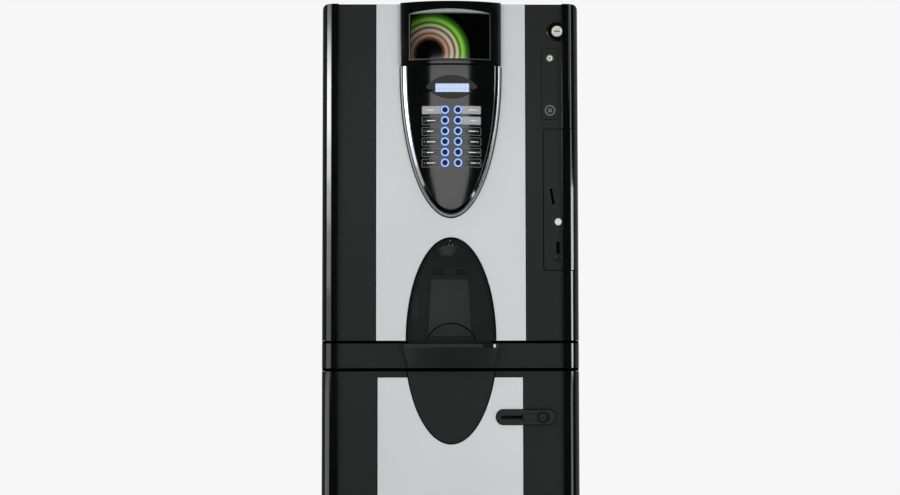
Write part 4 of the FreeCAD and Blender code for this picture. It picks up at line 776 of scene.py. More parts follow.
def draw_up(line, z, closed):
    """Draw a traced line up between two levels, as a wall or a solid, and stay in edit mode."""
    edit(line)
    bpy.ops.transform.translate(value=(0, 0, z[0]))
    if closed:
        bpy.ops.mesh.edge_face_add()
    bpy.ops.mesh.extrude_region_move(TRANSFORM_OT_translate={"value": (0, 0, z[1] - z[0])})


def moulding(name, sizes, z, back, corners):
    """A hollow moulding with two round pillars; corners are its radii at the bottom and top."""
    half = front_line(sizes, 0, 0, (4, 22))[1:] + [(SIDE, back)]
    piece = trace(name, [(-x, y) for x, y in reversed(half)] + half)
    draw_up(piece, z, True)
    face_outwards()
    leave_edit()
    levels = grown(z, SMALL)
    room = block("room", grown((-SIDE, SIDE), SMALL), (CROWN, back + 10 * MM), levels)
    for level, radius in zip(levels, corners):
        round_picked(room, edges_at("z", level, "y"), radius, 8)
    trim(piece, room)
    round_edges(piece, sizes.edge, 3, 50)
    wall = sizes.wall
    inside = (SATIN + wall, back + 9 * MM)
    core = block("core", (wall - SIDE, SIDE - wall), inside, (z[0] + wall, z[1] - wall))
    round_picked(core, edges_at("y", inside[0], "z"), sizes.pillar_radius - wall, 10)
    return carve(piece, core)


def two_finishes(piece, sizes, front=SATIN):
    """Gloss all over, and satin on the flat wall between the pillars."""
    piece.data.materials.clear()
    for name in ("gloss", "satin"):
        piece.data.materials.append(FINISHES[name])
    inner = SIDE - sizes.pillar_width
    for face in piece.data.polygons:
        flat = abs(face.center.y - front) < 0.2 * MM and abs(face.normal.y) > 0.9
        if flat and abs(face.center.x) < inner:
            face.material_index = 1


def hinge_leaves(name, body, door_z):
    """A door's two knuckles with their leaves."""
    spot = (4.5 * MM - SIDE, HINGE_Y)
    tall = 22 * MM
    for number, level in enumerate((door_z[0] + 110 * MM, door_z[1] - 110 * MM), 1):
        z = (level + 0.3 * MM, level + tall)
        barrel = rod(f"{name}_hinge_{number}", "z", 4.2 * MM, z, spot, 32)
        round_edges(barrel, 0.5 * MM)
        weld(barrel, block("leaf", (3 * MM - SIDE, 5.5 * MM - SIDE), (HINGE_Y - 30 * MM, HINGE_Y), z))
        carve(barrel, rod("bore", "z", 3.1 * MM, (level - MM, level + tall + MM), spot, 32))
        dress(barrel, body, "zinc", "sheet_zinc")


LOCK_SPOT = (middle("door_lock").x, TOP - 57.7 * MM)
LOCK_BORE = 11.2 * MM
SLOT_SPOT = (SIDE - 57.1 * MM, FOOT + 301 * MM)
SLOT_X = (-3 * MM, 3 * MM)
SLOT_Z = (-16.6 * MM, 16.6 * MM)
SLOT_LEAN = math.radians(10)
KNOB_SPOT = (SIDE - 45.2 * MM, FOOT + 173.2 * MM)
BAND_GAP = 87 * MM


def lean(piece):
    """Lean an upright piece as the coin slot leans, and take it to the slot's place."""
    edit(piece)
    bpy.ops.transform.rotate(value=SLOT_LEAN, orient_axis="Y", center_override=(0, 0, 0))
    bpy.ops.transform.translate(value=(SLOT_SPOT[0], 0, SLOT_SPOT[1]))
    leave_edit()
    return piece


def payment_holes(y):
    """The leaning coin slot, the return button's hole and the lever's slot."""
    slot = lean(block("slot", SLOT_X, y, SLOT_Z))
    push = middle("return_button")
    hole = rod("hole", "y", 7.6 * MM, y, (push.x, push.z))
    lever_z = (KNOB_SPOT[1] - 5 * MM, KNOB_SPOT[1] + 33 * MM)
    return [slot, hole, block("way", around(KNOB_SPOT[0], 3.75 * MM), y, lever_z)]


def door_holes():
    """The openings through the upper door: cup bay, lock, coin slot, button and lever."""
    x, _, z = ends_of("bay_surround")
    play = 0.3 * MM
    y = (PILLAR_FACE - 5 * MM, SATIN + 10 * MM)
    bay = oval("bay", (x[1] - x[0]) / 2 + play, z[1] - FOOT + play, y, (mid(x), FOOT))
    trim(bay, block("above", (-SIDE, SIDE), grown(y, MM), (FOOT + 3.4 * MM, TOP)))
    return [bay, rod("turn", "y", LOCK_BORE, y, LOCK_SPOT), *payment_holes(y)]


class MACHINE_OT_mouldings(bpy.types.Operator):
    """Model the black mouldings of both doors and the band between them"""

    bl_idname = "machine.mouldings"
    bl_label = "Mouldings"

    def execute(self, context):
        sizes = context.scene.machine_sizes
        square = (sizes.corner, sizes.corner)
        upper = moulding("upper_door_moulding", sizes, DOOR_Z, DOOR_BACK, (sizes.corner, sizes.shoulder))
        carve(upper, *door_holes())
        two_finishes(upper, sizes)
        dress(upper, UPPER, None, "moulding_black", "upper_door")
        hinge_leaves("upper_door", UPPER, DOOR_Z)
        self.lock_boss()
        z = ends_of("cabinet_door")[2]
        lower = moulding("cabinet_door_moulding", sizes, z, DOOR_BACK, square)
        two_finishes(lower, sizes)
        dress(lower, LOWER, None, "moulding_black", "cabinet_door")
        hinge_leaves("cabinet_door", LOWER, z)
        self.band(sizes, square)
        return {"FINISHED"}

    def lock_boss(self):
        """The round boss that carries the door's lock."""
        y = (SATIN - 3.2 * MM, SATIN + MM)
        boss = hoop("lock_boss", 21 * MM, LOCK_BORE, y, LOCK_SPOT, 96)
        round_edges(boss, 1.4 * MM, 4)
        dress(boss, UPPER, "gloss", "moulding_black")

    def band(self, sizes, corners):
        """The fixed band, open in the middle for the drip tray."""
        _, y, z = ends_of("band_moulding")
        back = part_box("casing_carcass")[0].y
        band = moulding("band_front", sizes, z, back, corners)
        gap_z = (z[0] + sizes.wall + 0.6 * MM, z[1] + 9 * MM)
        carve(band, block("gap", (-BAND_GAP, BAND_GAP), grown((FACE, back), 9 * MM), gap_z))
        two_finishes(band, sizes)
        dress(band, "root", None, "moulding_black", "band_moulding")
        self.seam_strips(z)
        inner = SIDE - 3 * MM
        for name, x in (("left", (-SIDE, -inner)), ("right", (inner, SIDE))):
            lap = block(f"band_lap_{name}", x, (back - 3 * MM, y[1]), z)
            round_edges(lap, 0.6 * MM)
            dress(lap, "root", "gloss", "moulding_black")

    def seam_strips(self, z):
        """Dark strips behind the band's seams above and below it: painted shade, so that the seams show
        black.
        """
        lap = 0.35 * MM
        tight = SIDE - 0.5 * MM
        inner = BAND_GAP + 2 * MM
        above = (z[1] - MM, FOOT - lap)
        below = (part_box("cabinet_door")[1].z + lap, z[0] + MM)
        y = (PILLAR_FACE + 29 * MM, PILLAR_FACE + 33 * MM)
        runs = (
            ("left_above", (-tight, -inner), above),
            ("right_above", (inner, tight), above),
            ("below", (-tight, tight), below),
        )
        for name, x, levels in runs:
            strip = block(f"seam_shade_strip_{name}", x, y, levels)
            round_edges(strip, 0.2 * MM, 1)
            dress(strip, "root", "joint", "moulding_black")


# header and screen


class MACHINE_OT_header(bpy.types.Operator):
    """Model the header's bowed housing, its screen and the crescent over it, painted light grey as the lit
    underside of the header's lip
    """

    bl_idname = "machine.header"
    bl_label = "Header and screen"

    screen_drop = 3.9 * MM
    play = 0.6 * MM

    def execute(self, context):
        rise = context.scene.machine_sizes.screen_hood
        header_x, _, z = ends_of("header_housing")
        housing = block("header_shell", header_x, (CROWN, FACE), z)
        trim(housing, self.bow(CROWN, grown(z, MM)))
        x, _, screen_z = ends_of("screen_panel")
        window_z = (screen_z[0] - self.screen_drop, screen_z[1] - self.screen_drop)
        deep = (CROWN - 5 * MM, CROWN + 14 * MM)
        carve(housing, block("window", grown(x, self.play), deep, grown(window_z, self.play)))
        round_edges(housing, 1.0 * MM, 3)
        dress(housing, UPPER, "gloss", "housing_black", "header_housing")
        glass = block("screen_glass", x, (CROWN, CROWN + 13 * MM), window_z)
        trim(glass, self.bow(CROWN + 1.2 * MM, z))
        round_edges(glass, 0.5 * MM)
        dress(glass, UPPER, "screen", "screen_picture", "screen_panel")
        self.screen_frame(x, window_z)
        # painted light: a pale crescent over the screen, for the header lip's underside that catches light
        # from below
        level = window_z[1] + 2.4 * MM
        hood = block("screen_hood", x, (CROWN - MM, CROWN + 12 * MM), (level, level + rise + MM))
        trim(hood, self.bow(CROWN - 0.5 * MM, (z[0], z[1] + MM)))
        radius = bow_radius((x[1] - x[0]) / 2, rise)
        spot = (mid(x), level + rise - radius)
        trim(hood, rod("arch", "y", radius, (CROWN - 9 * MM, CROWN + 30 * MM), spot, 720))
        dress(hood, UPPER, "hood", "housing_black")
        return {"FINISHED"}

    def bow(self, crest, z):
        """A drum with the header's bow."""
        x = ends_of("header_housing")[0]
        return drum((x[1] - x[0]) / 2, 16 * MM, crest, z, mid(x))

    def screen_frame(self, x, z):
        """The thin grey frame round the screen."""
        width = 2.2 * MM
        deep = (CROWN - MM, CROWN + 12 * MM)
        ring = block("screen_frame", grown(x, width), deep, grown(z, width))
        carve(ring, block("window", x, grown(deep, MM), z))
        trim(ring, self.bow(CROWN - 0.3 * MM, grown(z, 9 * MM)))
        carve(ring, self.bow(CROWN + 0.6 * MM, grown(z, 9 * MM)))
        dress(ring, UPPER, "frame", "housing_black")


# control shield

RIM_X = ends_of("control_rim")[0]
RIM_Z = ends_of("control_rim")[2]
SHIELD_HALF = (RIM_X[1] - RIM_X[0]) / 2
SHIELD_LENGTH = 306.3 * MM
SHIELD_X = middle("control_rim").x
SHIELD_Z = RIM_Z[0] + SHIELD_LENGTH
SHIELD_STEPS = 256
PANEL_INSET = 13.3 * MM
PANEL_HALF = SHIELD_HALF - PANEL_INSET
PANEL_BOW = 12 * MM
DISPLAY_X = around(3.9 * MM, 35 * MM)
DISPLAY_Z = around(SHIELD_Z - 38.3 * MM, 9.2 * MM)
BUTTON_NAMES = [f"button_{number:02d}" for number in range(1, 13)]

# steps inwards and outwards from the rim's outer foot, in millimetres
RIM_PROFILE = (
    (0, 4),
    (0.6, 7.4),
    (2.0, 9.2),
    (3.8, 9.2),
    (4.9, 8.2),
    (5.7, 8.2),
    (6.3, 9.6),
    (6.7, 9.75),
    (11.7, 11.6),
    (12.1, 11.75),
    (12.8, 11.4),
    (13, 10),
    (13, 0),
)


def shield_oval(name, inset, y):
    """A plate of the shield's oval, smaller by an inset."""
    half, tall = SHIELD_HALF - inset, SHIELD_LENGTH - inset
    return oval(name, half, tall, y, (SHIELD_X, SHIELD_Z), SHIELD_STEPS)


def below_header(y):
    """The room below the shield's straight top."""
    return block("room", (-SIDE, SIDE), y, (FOOT, RIM_Z[1]))


def panel_bow(crest, z):
    """A drum with the control panel's bow."""
    return drum(PANEL_HALF, PANEL_BOW, crest, z, SHIELD_X)


def panel_y(x):
    """The control panel's front at a distance from its middle."""
    radius = bow_radius(PANEL_HALF, PANEL_BOW)
    return PANEL_FRONT + radius - math.sqrt(radius**2 - (x - SHIELD_X) ** 2)


def on_panel(name, proud, x, z, corner=None):
    """A thin plate that follows the control panel's bow and stands out from it."""
    plate = block(name, x, (PANEL_FRONT - 6 * MM, PANEL_FRONT + 12 * MM), z)
    if corner:
        round_corners(plate, corner)
    trim(plate, panel_bow(PANEL_FRONT - proud, grown(z, MM)))
    return carve(plate, panel_bow(PANEL_FRONT + 0.4 * MM, grown(z, 2 * MM)))


class MACHINE_OT_shield(bpy.types.Operator):
    """Model the control shield: chrome rim, bowed panel and the display's bezel"""

    bl_idname = "machine.shield"
    bl_label = "Control shield"

    def execute(self, context):
        sizes = context.scene.machine_sizes
        self.rim()
        self.gasket(sizes)
        self.panel()
        self.bezel(sizes)
        repaint("display", "lcd_display")
        return {"FINISHED"}

    def rim(self):
        """Rounded outer bead, a groove, and a slope up to the panel, extruded from the oval's outline."""
        let_go()
        spot = (SHIELD_X, FACE, SHIELD_Z)
        turn = (math.pi / 2, 0, 0)
        bpy.ops.mesh.primitive_circle_add(
            vertices=SHIELD_STEPS, radius=SHIELD_HALF, location=spot, rotation=turn
        )
        rim = settle(bpy.context.object, "shield_rim")
        edit(rim)
        bpy.ops.transform.resize(value=(1, 1, SHIELD_LENGTH / SHIELD_HALF), center_override=spot)
        bpy.ops.mesh.bisect(
            plane_co=(0, 0, RIM_Z[1]), plane_no=(0, 0, 1), clear_outer=True, use_fill=False
        )
        bpy.ops.mesh.select_all(action="SELECT")
        inset, height = 0, 0
        for step_in, step_out in RIM_PROFILE:
            wide, tall = SHIELD_HALF - inset, SHIELD_LENGTH - inset
            outwards = (0, height - step_out * MM, 0)
            bpy.ops.mesh.extrude_region_move(TRANSFORM_OT_translate={"value": outwards})
            inset, height = step_in * MM, step_out * MM
            shrink = ((SHIELD_HALF - inset) / wide, 1, (SHIELD_LENGTH - inset) / tall)
            bpy.ops.transform.resize(value=shrink, center_override=spot)
        face_outwards()
        leave_edit()
        place(smooth(rim, 50), UPPER, "chrome", "rim_chrome", "control_rim")

    def gasket(self, sizes):
        """A dark plate behind the rim, a little wider: painted shade, the dark line of shadow round the
        rim.
        """
        shadow_line = shield_oval("shield_rim_shadow", -sizes.groove, (FACE - 0.5 * MM, FACE + 0.4 * MM))
        trim(shadow_line, below_header((CROWN, FACE + MM)))
        carve(shadow_line, shield_oval("hole", 9 * MM, (CROWN, 0)))
        dress(shadow_line, UPPER, "joint", "rim_chrome")

    def panel(self):
        """The glossy bowed panel, with the display's window and the buttons' holes."""
        panel = shield_oval("shield_panel", PANEL_INSET, (PANEL_FRONT - MM, FACE))
        trim(panel, below_header((CROWN - 9 * MM, FACE + MM)))
        trim(panel, panel_bow(PANEL_FRONT, DOOR_Z))
        round_edges(panel, 1.2 * MM, 3, 50)
        pocket_z = grown(ends_of("lcd_display")[2], 2 * MM)
        pocket = block("pocket", (-49 * MM, 51 * MM), (PANEL_FRONT + 7 * MM, FACE + MM), pocket_z)
        through = (PANEL_FRONT - 9 * MM, FACE)
        carve(panel, pocket, block("window", DISPLAY_X, through, DISPLAY_Z))
        for name in BUTTON_NAMES:
            spot = middle(name)
            carve(panel, rod("hole", "y", 7.3 * MM, through, (spot.x, spot.z), 48))
        dress(panel, UPPER, "gloss", "housing_black", "control_panel")

    def bezel(self, sizes):
        """A flat-faced boss with two pointed ends, round the display's window."""
        x = 2.6 * MM
        z = mid(DISPLAY_Z) + 1.6 * MM
        half = sizes.bezel_half
        rise = sizes.bezel_rise
        radius = bow_radius(half, rise)
        front = PANEL_FRONT - sizes.bezel_proud
        y = (front, PANEL_FRONT + 9 * MM)
        boss = rod("display_bezel", "y", radius, y, (x, z + rise - radius), 256)
        trim(boss, rod("under", "y", radius, grown(y, MM), (x, z - rise + radius), 256))
        carve(boss, panel_bow(PANEL_FRONT + 0.4 * MM, around(z, rise + MM)))
        play = 0.6 * MM
        carve(boss, block("window", grown(DISPLAY_X, play), grown(y, MM), grown(DISPLAY_Z, play)))
        notch_z = (DISPLAY_Z[0] + 1.5 * MM, DISPLAY_Z[0] + 4.9 * MM)
        for side in (-1, 1):
            notch_x = sorted((x + side * (half - 14.5 * MM), x + side * (half - 3.5 * MM)))
            carve(boss, block("notch", notch_x, (front - MM, front + 1.6 * MM), notch_z))
            # painted shade: a near-black pad sits in each notch, for the shade at the bezel's pointed ends
            pad_y = (front + 0.6 * MM, front + 1.4 * MM)
            shade_pad = block(f"bezel_notch_shade_{side + 2}", notch_x, pad_y, notch_z)
            dress(shade_pad, UPPER, "joint", "housing_black")
        runs = along("y")

        def at_tips(edge):
            return runs(edge) and abs(abs(centre_of(edge).x - x) - half) < 2 * MM

        round_picked(boss, at_tips, 7 * MM, 6)
        round_edges(boss, 0.9 * MM, 3, 50)
        dress(boss, UPPER, "bezel", "housing_black")


class MACHINE_OT_buttons(bpy.types.Operator):
    """Model the twelve ring-lit buttons and their collars"""

    bl_idname = "machine.buttons"
    bl_label = "Buttons"

    def execute(self, context):
        first = middle(BUTTON_NAMES[0])
        cap = self.cap(first)
        collar = self.collar(first)
        for number, name in enumerate(BUTTON_NAMES, 1):
            offset = middle(name) - first
            made = copy_of(cap, f"{name}_cap", offset)
            place(made, f"push_{number:02d}", None, "button_blue", name)
            ring = copy_of(collar, f"{name}_ring", offset)
            place(ring, UPPER, None, "button_blue")
        for thing in (cap, collar):
            bpy.data.objects.remove(thing)
        return {"FINISHED"}

    def lathe(self, name, points, spot, finishes):
        """Turn a line of (radius, y) points about a button's axis.

        Finishes are pairs of a largest radius and a name. All radii are in millimetres.
        """
        line = trace(name, [(spot.x + radius * MM, y) for radius, y in points])
        edit(line)
        bpy.ops.transform.translate(value=(0, 0, spot.z))
        centre = (spot.x, 0, spot.z)
        bpy.ops.mesh.spin(
            steps=40, angle=math.tau, center=centre, axis=(0, 1, 0), use_auto_merge=True
        )
        bpy.ops.mesh.select_all(action="SELECT")
        bpy.ops.mesh.remove_doubles(threshold=SMALL)
        face_outwards()
        leave_edit()
        for _, finish_name in finishes:
            line.data.materials.append(FINISHES[finish_name])
        for face in line.data.polygons:
            away = math.hypot(face.center.x - spot.x, face.center.z - spot.z)
            inside = [index for index, (radius, _) in enumerate(finishes) if away < radius * MM]
            face.material_index = inside[0]
        return smooth(line)

    def cap(self, spot):
        """A dished cap with a dark middle and a lit slope."""
        front, back = ends_of(BUTTON_NAMES[0])[1]
        points = [
            (0, front + 1.1 * MM),
            (4.8, front + 0.9 * MM),
            (5.4, front + 0.5 * MM),
            (5.9, front + 0.05 * MM),
            (6.5, front + 0.1 * MM),
            (7.0, front + 0.8 * MM),
            (7.0, back - MM),
            (8.3, back - MM),
            (8.3, back),
            (0, back),
        ]
        finishes = [(5.2, "cap"), (5.7, "ring_inner"), (6.98, "ring"), (9, "cap")]
        return self.lathe("cap", points, spot, finishes)

    def collar(self, spot):
        """The lit ring moulded round each button."""
        points = [
            (7.3, PANEL_FRONT + 3 * MM),
            (7.3, PANEL_FRONT - 1.0 * MM),
            (7.8, PANEL_FRONT - 1.4 * MM),
            (8.6, PANEL_FRONT - 1.2 * MM),
            (9.3, PANEL_FRONT - 0.4 * MM),
            (9.4, PANEL_FRONT + 3 * MM),
            (7.3, PANEL_FRONT + 3 * MM),
        ]
        return self.lathe("collar", points, spot, [(8.5, "ring"), (10, "ring_inner")])


class MACHINE_OT_labels(bpy.types.Operator):
    """Model the drink labels: a film beside each button, with an outline, a plain bar and a number"""

    bl_idname = "machine.labels"
    bl_label = "Labels"

    light = (1, 2, 4)

    def execute(self, context):
        sizes = context.scene.machine_sizes
        for number, name in enumerate(BUTTON_NAMES, 1):
            self.label(sizes, number, middle(name), -1 if number % 2 else 1)
        return {"FINISHED"}

    def label(self, sizes, number, spot, side):
        """One label plate, whose inner end goes under the button's ring; side is -1 at the left."""
        far = spot.x + side * sizes.label_length
        x = sorted((spot.x, far))
        z = around(spot.z, sizes.label_height / 2)
        line = sizes.label_line
        name = f"label_{number:02d}"
        film = "label_light" if number in self.light else "label"
        layers = (
            ("line", 0.25 * MM, x, z, 2.5 * MM, "line"),
            ("film", 0.4 * MM, grown(x, -line), grown(z, -line), 2 * MM, film),
        )
        for part, proud, plate_x, plate_z, corner, finish_name in layers:
            plate = on_panel(f"{name}_{part}", proud, plate_x, plate_z, corner)
            carve(plate, rod("hole", "y", 8 * MM, (CROWN - 9 * MM, FACE), (spot.x, spot.z), 48))
            dress(plate, UPPER, finish_name, "display_blue")
        outer = far - side * 4 * MM
        self.bar(name, outer, spot.z, side, 12 * MM + 2 * MM * (number % 4))
        self.number(name, number, outer if side < 0 else outer - 4 * MM, spot.z)

    def bar(self, name, outer, z, side, length):
        """A plain bar where a drink's name would be."""
        near = outer - side * 6 * MM
        x = sorted((near, near - side * length))
        bar = on_panel(f"{name}_bar", 0.55 * MM, x, around(z, 0.8 * MM))
        dress(bar, UPPER, "mark", "display_blue")

    def number(self, name, number, x, z):
        """The button's number, in plain figures."""
        let_go()
        spot = (x, panel_y(x) - 0.45 * MM, z - 1.6 * MM)
        bpy.ops.object.text_add(location=spot, rotation=(math.pi / 2, 0, 0))
        text = bpy.context.object.data
        text.body = str(number)
        text.size = 4.6 * MM
        text.extrude = 0.15 * MM
        text.align_x = "LEFT"
        bpy.ops.object.convert(target="MESH")
        figure = settle(bpy.context.object, f"{name}_figure")
        place(figure, UPPER, "mark", "display_blue")


# the other fronts


class MACHINE_OT_panels(bpy.types.Operator):
    """Finish the silver panel, the cabinet's inlay and the crest"""

    bl_idname = "machine.panels"
    bl_label = "Silver panels and crest"

    joint = 1.4 * MM

    def execute(self, context):
        groove = context.scene.machine_sizes.groove
        for source, body in (("centre_panel", UPPER), ("cabinet_inlay", LOWER)):
            place(dressed_copy(source, 0), body, "silver", "silver_sheet", source)
        crest = dressed_copy("cabinet_crest", 0.7 * MM, 3)
        place(crest, LOWER, "satin", "moulding_black", "cabinet_crest")
        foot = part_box("cabinet_crest")[1].z - 0.5 * MM
        growth = (3 * groove, 1.5 * groove)
        pressed_line("cabinet_crest", "crest_shade_line", 0.35 * MM, growth, foot, "moulding_black")
        self.sheet_joint("centre_panel", UPPER, 0)
        self.sheet_joint("cabinet_inlay", LOWER, self.joint)
        return {"FINISHED"}

    def sheet_joint(self, source, body, above):
        """Painted shade: the dark line of the joint along the sides of a silver sheet, and above it where
        above is more than 0.
        """
        x, y, z = ends_of(source)
        outer = grown(x, self.joint)
        thick = around(y[1], 0.3 * MM)
        levels = (z[0], z[1] + above)
        joint = block(f"{source}_joint", (outer[0], x[0] + MM), thick, levels)
        weld(joint, block("right", (x[1] - MM, outer[1]), thick, levels))
        if above:
            weld(joint, block("above", outer, thick, (z[1] - MM, levels[1])))
        dress(joint, body, "joint", "moulding_black")


def skin_plate(name, sizes, x, z, lift, corner):
    """A thin plate that follows the moulding's front, with rounded corners."""
    points = [point for point in front_line(sizes, x[0], lift, (5, 30)) if point[0] <= x[1]]
    rest = x[1] - points[-1][0]
    if rest > SMALL:
        points.append((x[1], points[-1][1] + rest * 0.5))
    plate = trace(name, points)
    draw_up(plate, z, False)
    ends = (points[0][0], points[-1][0])
    pick(plate, lambda vertex: min(abs(vertex.co.x - end) for end in ends) < SMALL)
    bpy.ops.mesh.bevel(offset=corner, segments=4, affect="VERTICES")
    face_outwards()
    shape = bmesh.from_edit_mesh(plate.data)
    if max(shape.faces, key=lambda face: face.calc_area()).normal.y > 0:
        bpy.ops.mesh.flip_normals()
    leave_edit()
    return modified(plate, "SOLIDIFY", thickness=lift, offset=-1)


class MACHINE_OT_payment(bpy.types.Operator):
    """Model the payment side: coin plate, reader plate, button, knob and lock"""

    bl_idname = "machine.payment"
    bl_label = "Payment side"

    plate_front = SATIN - 0.8 * MM
    slot = "plate_graphite"

    def execute(self, context):
        sizes = context.scene.machine_sizes
        x, _, z = ends_of("coin_plate")
        y = grown((PILLAR_FACE, SATIN), 9 * MM)
        # painted shade: a near-black frame round the plate, for its groove's shade
        grow = sizes.groove
        joint = skin_plate("coin_plate_shade_line", sizes, grown(x, grow), grown(z, grow), 0.3 * MM, 7 * MM)
        dress(carve(joint, *payment_holes(y)), UPPER, "joint", self.slot)
        plate = skin_plate("coin_plate_cover", sizes, x, z, 0.8 * MM, 6 * MM)
        carve(plate, *payment_holes(y))
        two_finishes(plate, sizes, self.plate_front)
        dress(plate, UPPER, None, self.slot, "coin_plate")
        self.slot_frame()
        self.reader(sizes)
        self.button()
        self.knob()
        self.lock()
        return {"FINISHED"}

    def slot_frame(self):
        """A dark lip round the coin slot."""
        y = (self.plate_front - 0.8 * MM, self.plate_front + 0.4 * MM)
        lip = block("coin_slot_lip", (-5.4 * MM, 5.4 * MM), y, (-19.5 * MM, 19.5 * MM))
        round_corners(lip, 4 * MM)
        carve(lip, block("hole", SLOT_X, grown(y, MM), SLOT_Z))
        round_edges(lip, 0.4 * MM, 2)
        dress(lean(lip), UPPER, "knob", self.slot)

    def reader(self, sizes):
        """The card reader's blanking plate, with a bare round badge and a plain ring."""
        x = (SIDE - 77.7 * MM, SIDE - 44.1 * MM)
        z = (FOOT + 464 * MM, FOOT + 612.7 * MM)
        grow = sizes.groove / 2
        front = SATIN - 0.7 * MM
        # painted shade: a near-black frame round the reader plate, for the shade in its joint
        back = block("reader_shade_line", grown(x, grow), (SATIN - 0.25 * MM, SATIN + MM), grown(z, grow))
        round_corners(back, 2.9 * MM)
        dress(back, UPPER, "joint", self.slot)
        plate = block("reader_plate", x, (front, SATIN + MM), z)
        round_corners(plate, 2 * MM)
        round_edges(plate, 0.3 * MM)
        dress(plate, UPPER, "satin", self.slot)
        self.badge((mid(x), z[1] - 20 * MM), front)
        spot = (mid(x) + 0.3 * MM, z[0] + 18.5 * MM)
        y = (front - 0.15 * MM, front + 0.4 * MM)
        dress(hoop("reader_ring", 11 * MM, 8.6 * MM, y, spot), UPPER, "line", self.slot)
        dress(hoop("reader_dot", 4.2 * MM, 1.8 * MM, y, spot, 48, 32), UPPER, "line", self.slot)

    def badge(self, spot, front):
        """A plain round badge of three discs on a dark one."""
        badge = rod("badge_blank", "y", 9.5 * MM, (front - 0.8 * MM, front + 0.4 * MM), spot)
        round_edges(badge, 0.5 * MM, 3)
        dress(badge, UPPER, "knob", self.slot)
        for name, radius, lift in (("green", 7.6, 0.9), ("white", 5.4, 1.0), ("red", 2.4, 1.1)):
            disc = rod(f"badge_{name}", "y", radius * MM, (front - lift * MM, front), spot, 48)
            round_edges(disc, 0.05 * MM, 1)
            dress(disc, UPPER, name, self.slot)

    def button(self):
        """The white return button."""
        x, y, z = ends_of("return_button")
        spot = (mid(x), mid(z))
        cap = rod("return_button_cap", "y", 7.3 * MM, (y[0], SATIN + 3.1 * MM), spot)
        round_edges(cap, 1.2 * MM, 4)
        weld(cap, rod("flange", "y", (x[1] - x[0]) / 2, (SATIN + 3.3 * MM, y[1]), spot))
        weld(cap, rod("neck", "y", 5 * MM, (SATIN, y[1] - 0.5 * MM), spot, 32))
        dress(cap, "coin_return_button", "white", "button_white", "return_button")

    def knob(self):
        """The release lever's round knob, with its stem and keeper."""
        x, (front, back), _ = ends_of("return_lever")
        middle_x, middle_z = KNOB_SPOT
        knob = rod("return_knob", "y", 7.6 * MM, (front, front + 5.2 * MM), KNOB_SPOT)
        round_edges(knob, 1.3 * MM, 4)
        stem_y = (front + 4 * MM, back - MM)
        stem = block("stem", around(middle_x, 3.2 * MM), stem_y, around(middle_z, 4 * MM))
        keeper = block("keeper", x, (back - 2.5 * MM, back), around(middle_z, 6 * MM))
        weld(knob, stem, keeper)
        dress(knob, "coin_release_lever", "knob", "knob_black", "return_lever")

    def lock(self):
        """The door lock: a bright bevelled cylinder with a key slot, its nut, shaft and cam."""
        place(dressed_copy("door_lock", 0), "lock", "lock", "lock_steel", "door_lock")
        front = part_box("door_lock")[0].y
        y = (front - 0.9 * MM, front + 0.6 * MM)
        ring = hoop("lock_ring", 11 * MM, 8.2 * MM, y, LOCK_SPOT)
        round_edges(ring, 0.6 * MM, 3)
        dress(ring, "lock", "lock", "lock_steel")
        # painted shade: a near-black bar on the cylinder's face stands for the key slot's shaded inside
        slot_x, slot_z = around(LOCK_SPOT[0], 6 * MM), around(LOCK_SPOT[1], MM)
        slot = block("lock_keyway", slot_x, (front - 0.12 * MM, front + MM), slot_z)
        round_edges(slot, 0.1 * MM, 1)
        dress(slot, "lock", "joint", "lock_steel")


class MACHINE_OT_handle(bpy.types.Operator):
    """Finish the cabinet's swing handle: plate, lever and lock"""

    bl_idname = "machine.handle"
    bl_label = "Swing handle"

    slot = "frame_black"

    def execute(self, context):
        growth = 2 * context.scene.machine_sizes.groove
        parts = (("handle_plate", LOWER), ("handle_lever", "handle"), ("handle_lock", "handle_key"))
        for source, body in parts:
            place(dressed_copy(source, 0.5 * MM), body, "handle", self.slot, source)
        x, y, z = ends_of("handle_plate")
        pressed_line("handle_plate", "handle_plate_shade_line", 0.3 * MM, (growth, growth), mid(z), self.slot)
        self.finger_slot(x[0] + 10 * MM, y[0], mid(z))
        self.lock_ring()
        return {"FINISHED"}

    def finger_slot(self, start, front, z):
        """The finger slot in the plate, beside the lever: a near-black strip of painted shade that stands
        for the slot's shaded inside.
        """
        x = (start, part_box("handle_lever")[0].x - 1.2 * MM)
        slot = block("handle_slot", x, (front - 0.25 * MM, front + 0.4 * MM), around(z, 2.9 * MM))
        stretch(slot, at("x", start), (1, 1, 0.6), (0, 0, z))
        round_edges(slot, 0.2 * MM, 1)
        dress(slot, LOWER, "joint", self.slot)

    def lock_ring(self):
        """The dark ring round the handle's lock."""
        x, (front, _), z = ends_of("handle_lock")
        radius = (x[1] - x[0]) / 2
        half = 0.9 * MM
        y = (front - 0.25 * MM, front + 0.5 * MM)
        ring = hoop("handle_lock_ring", radius + half, radius - half, y, (mid(x), mid(z)))
        round_edges(ring, 0.2 * MM, 1)
        dress(ring, "handle_key", "joint", self.slot)


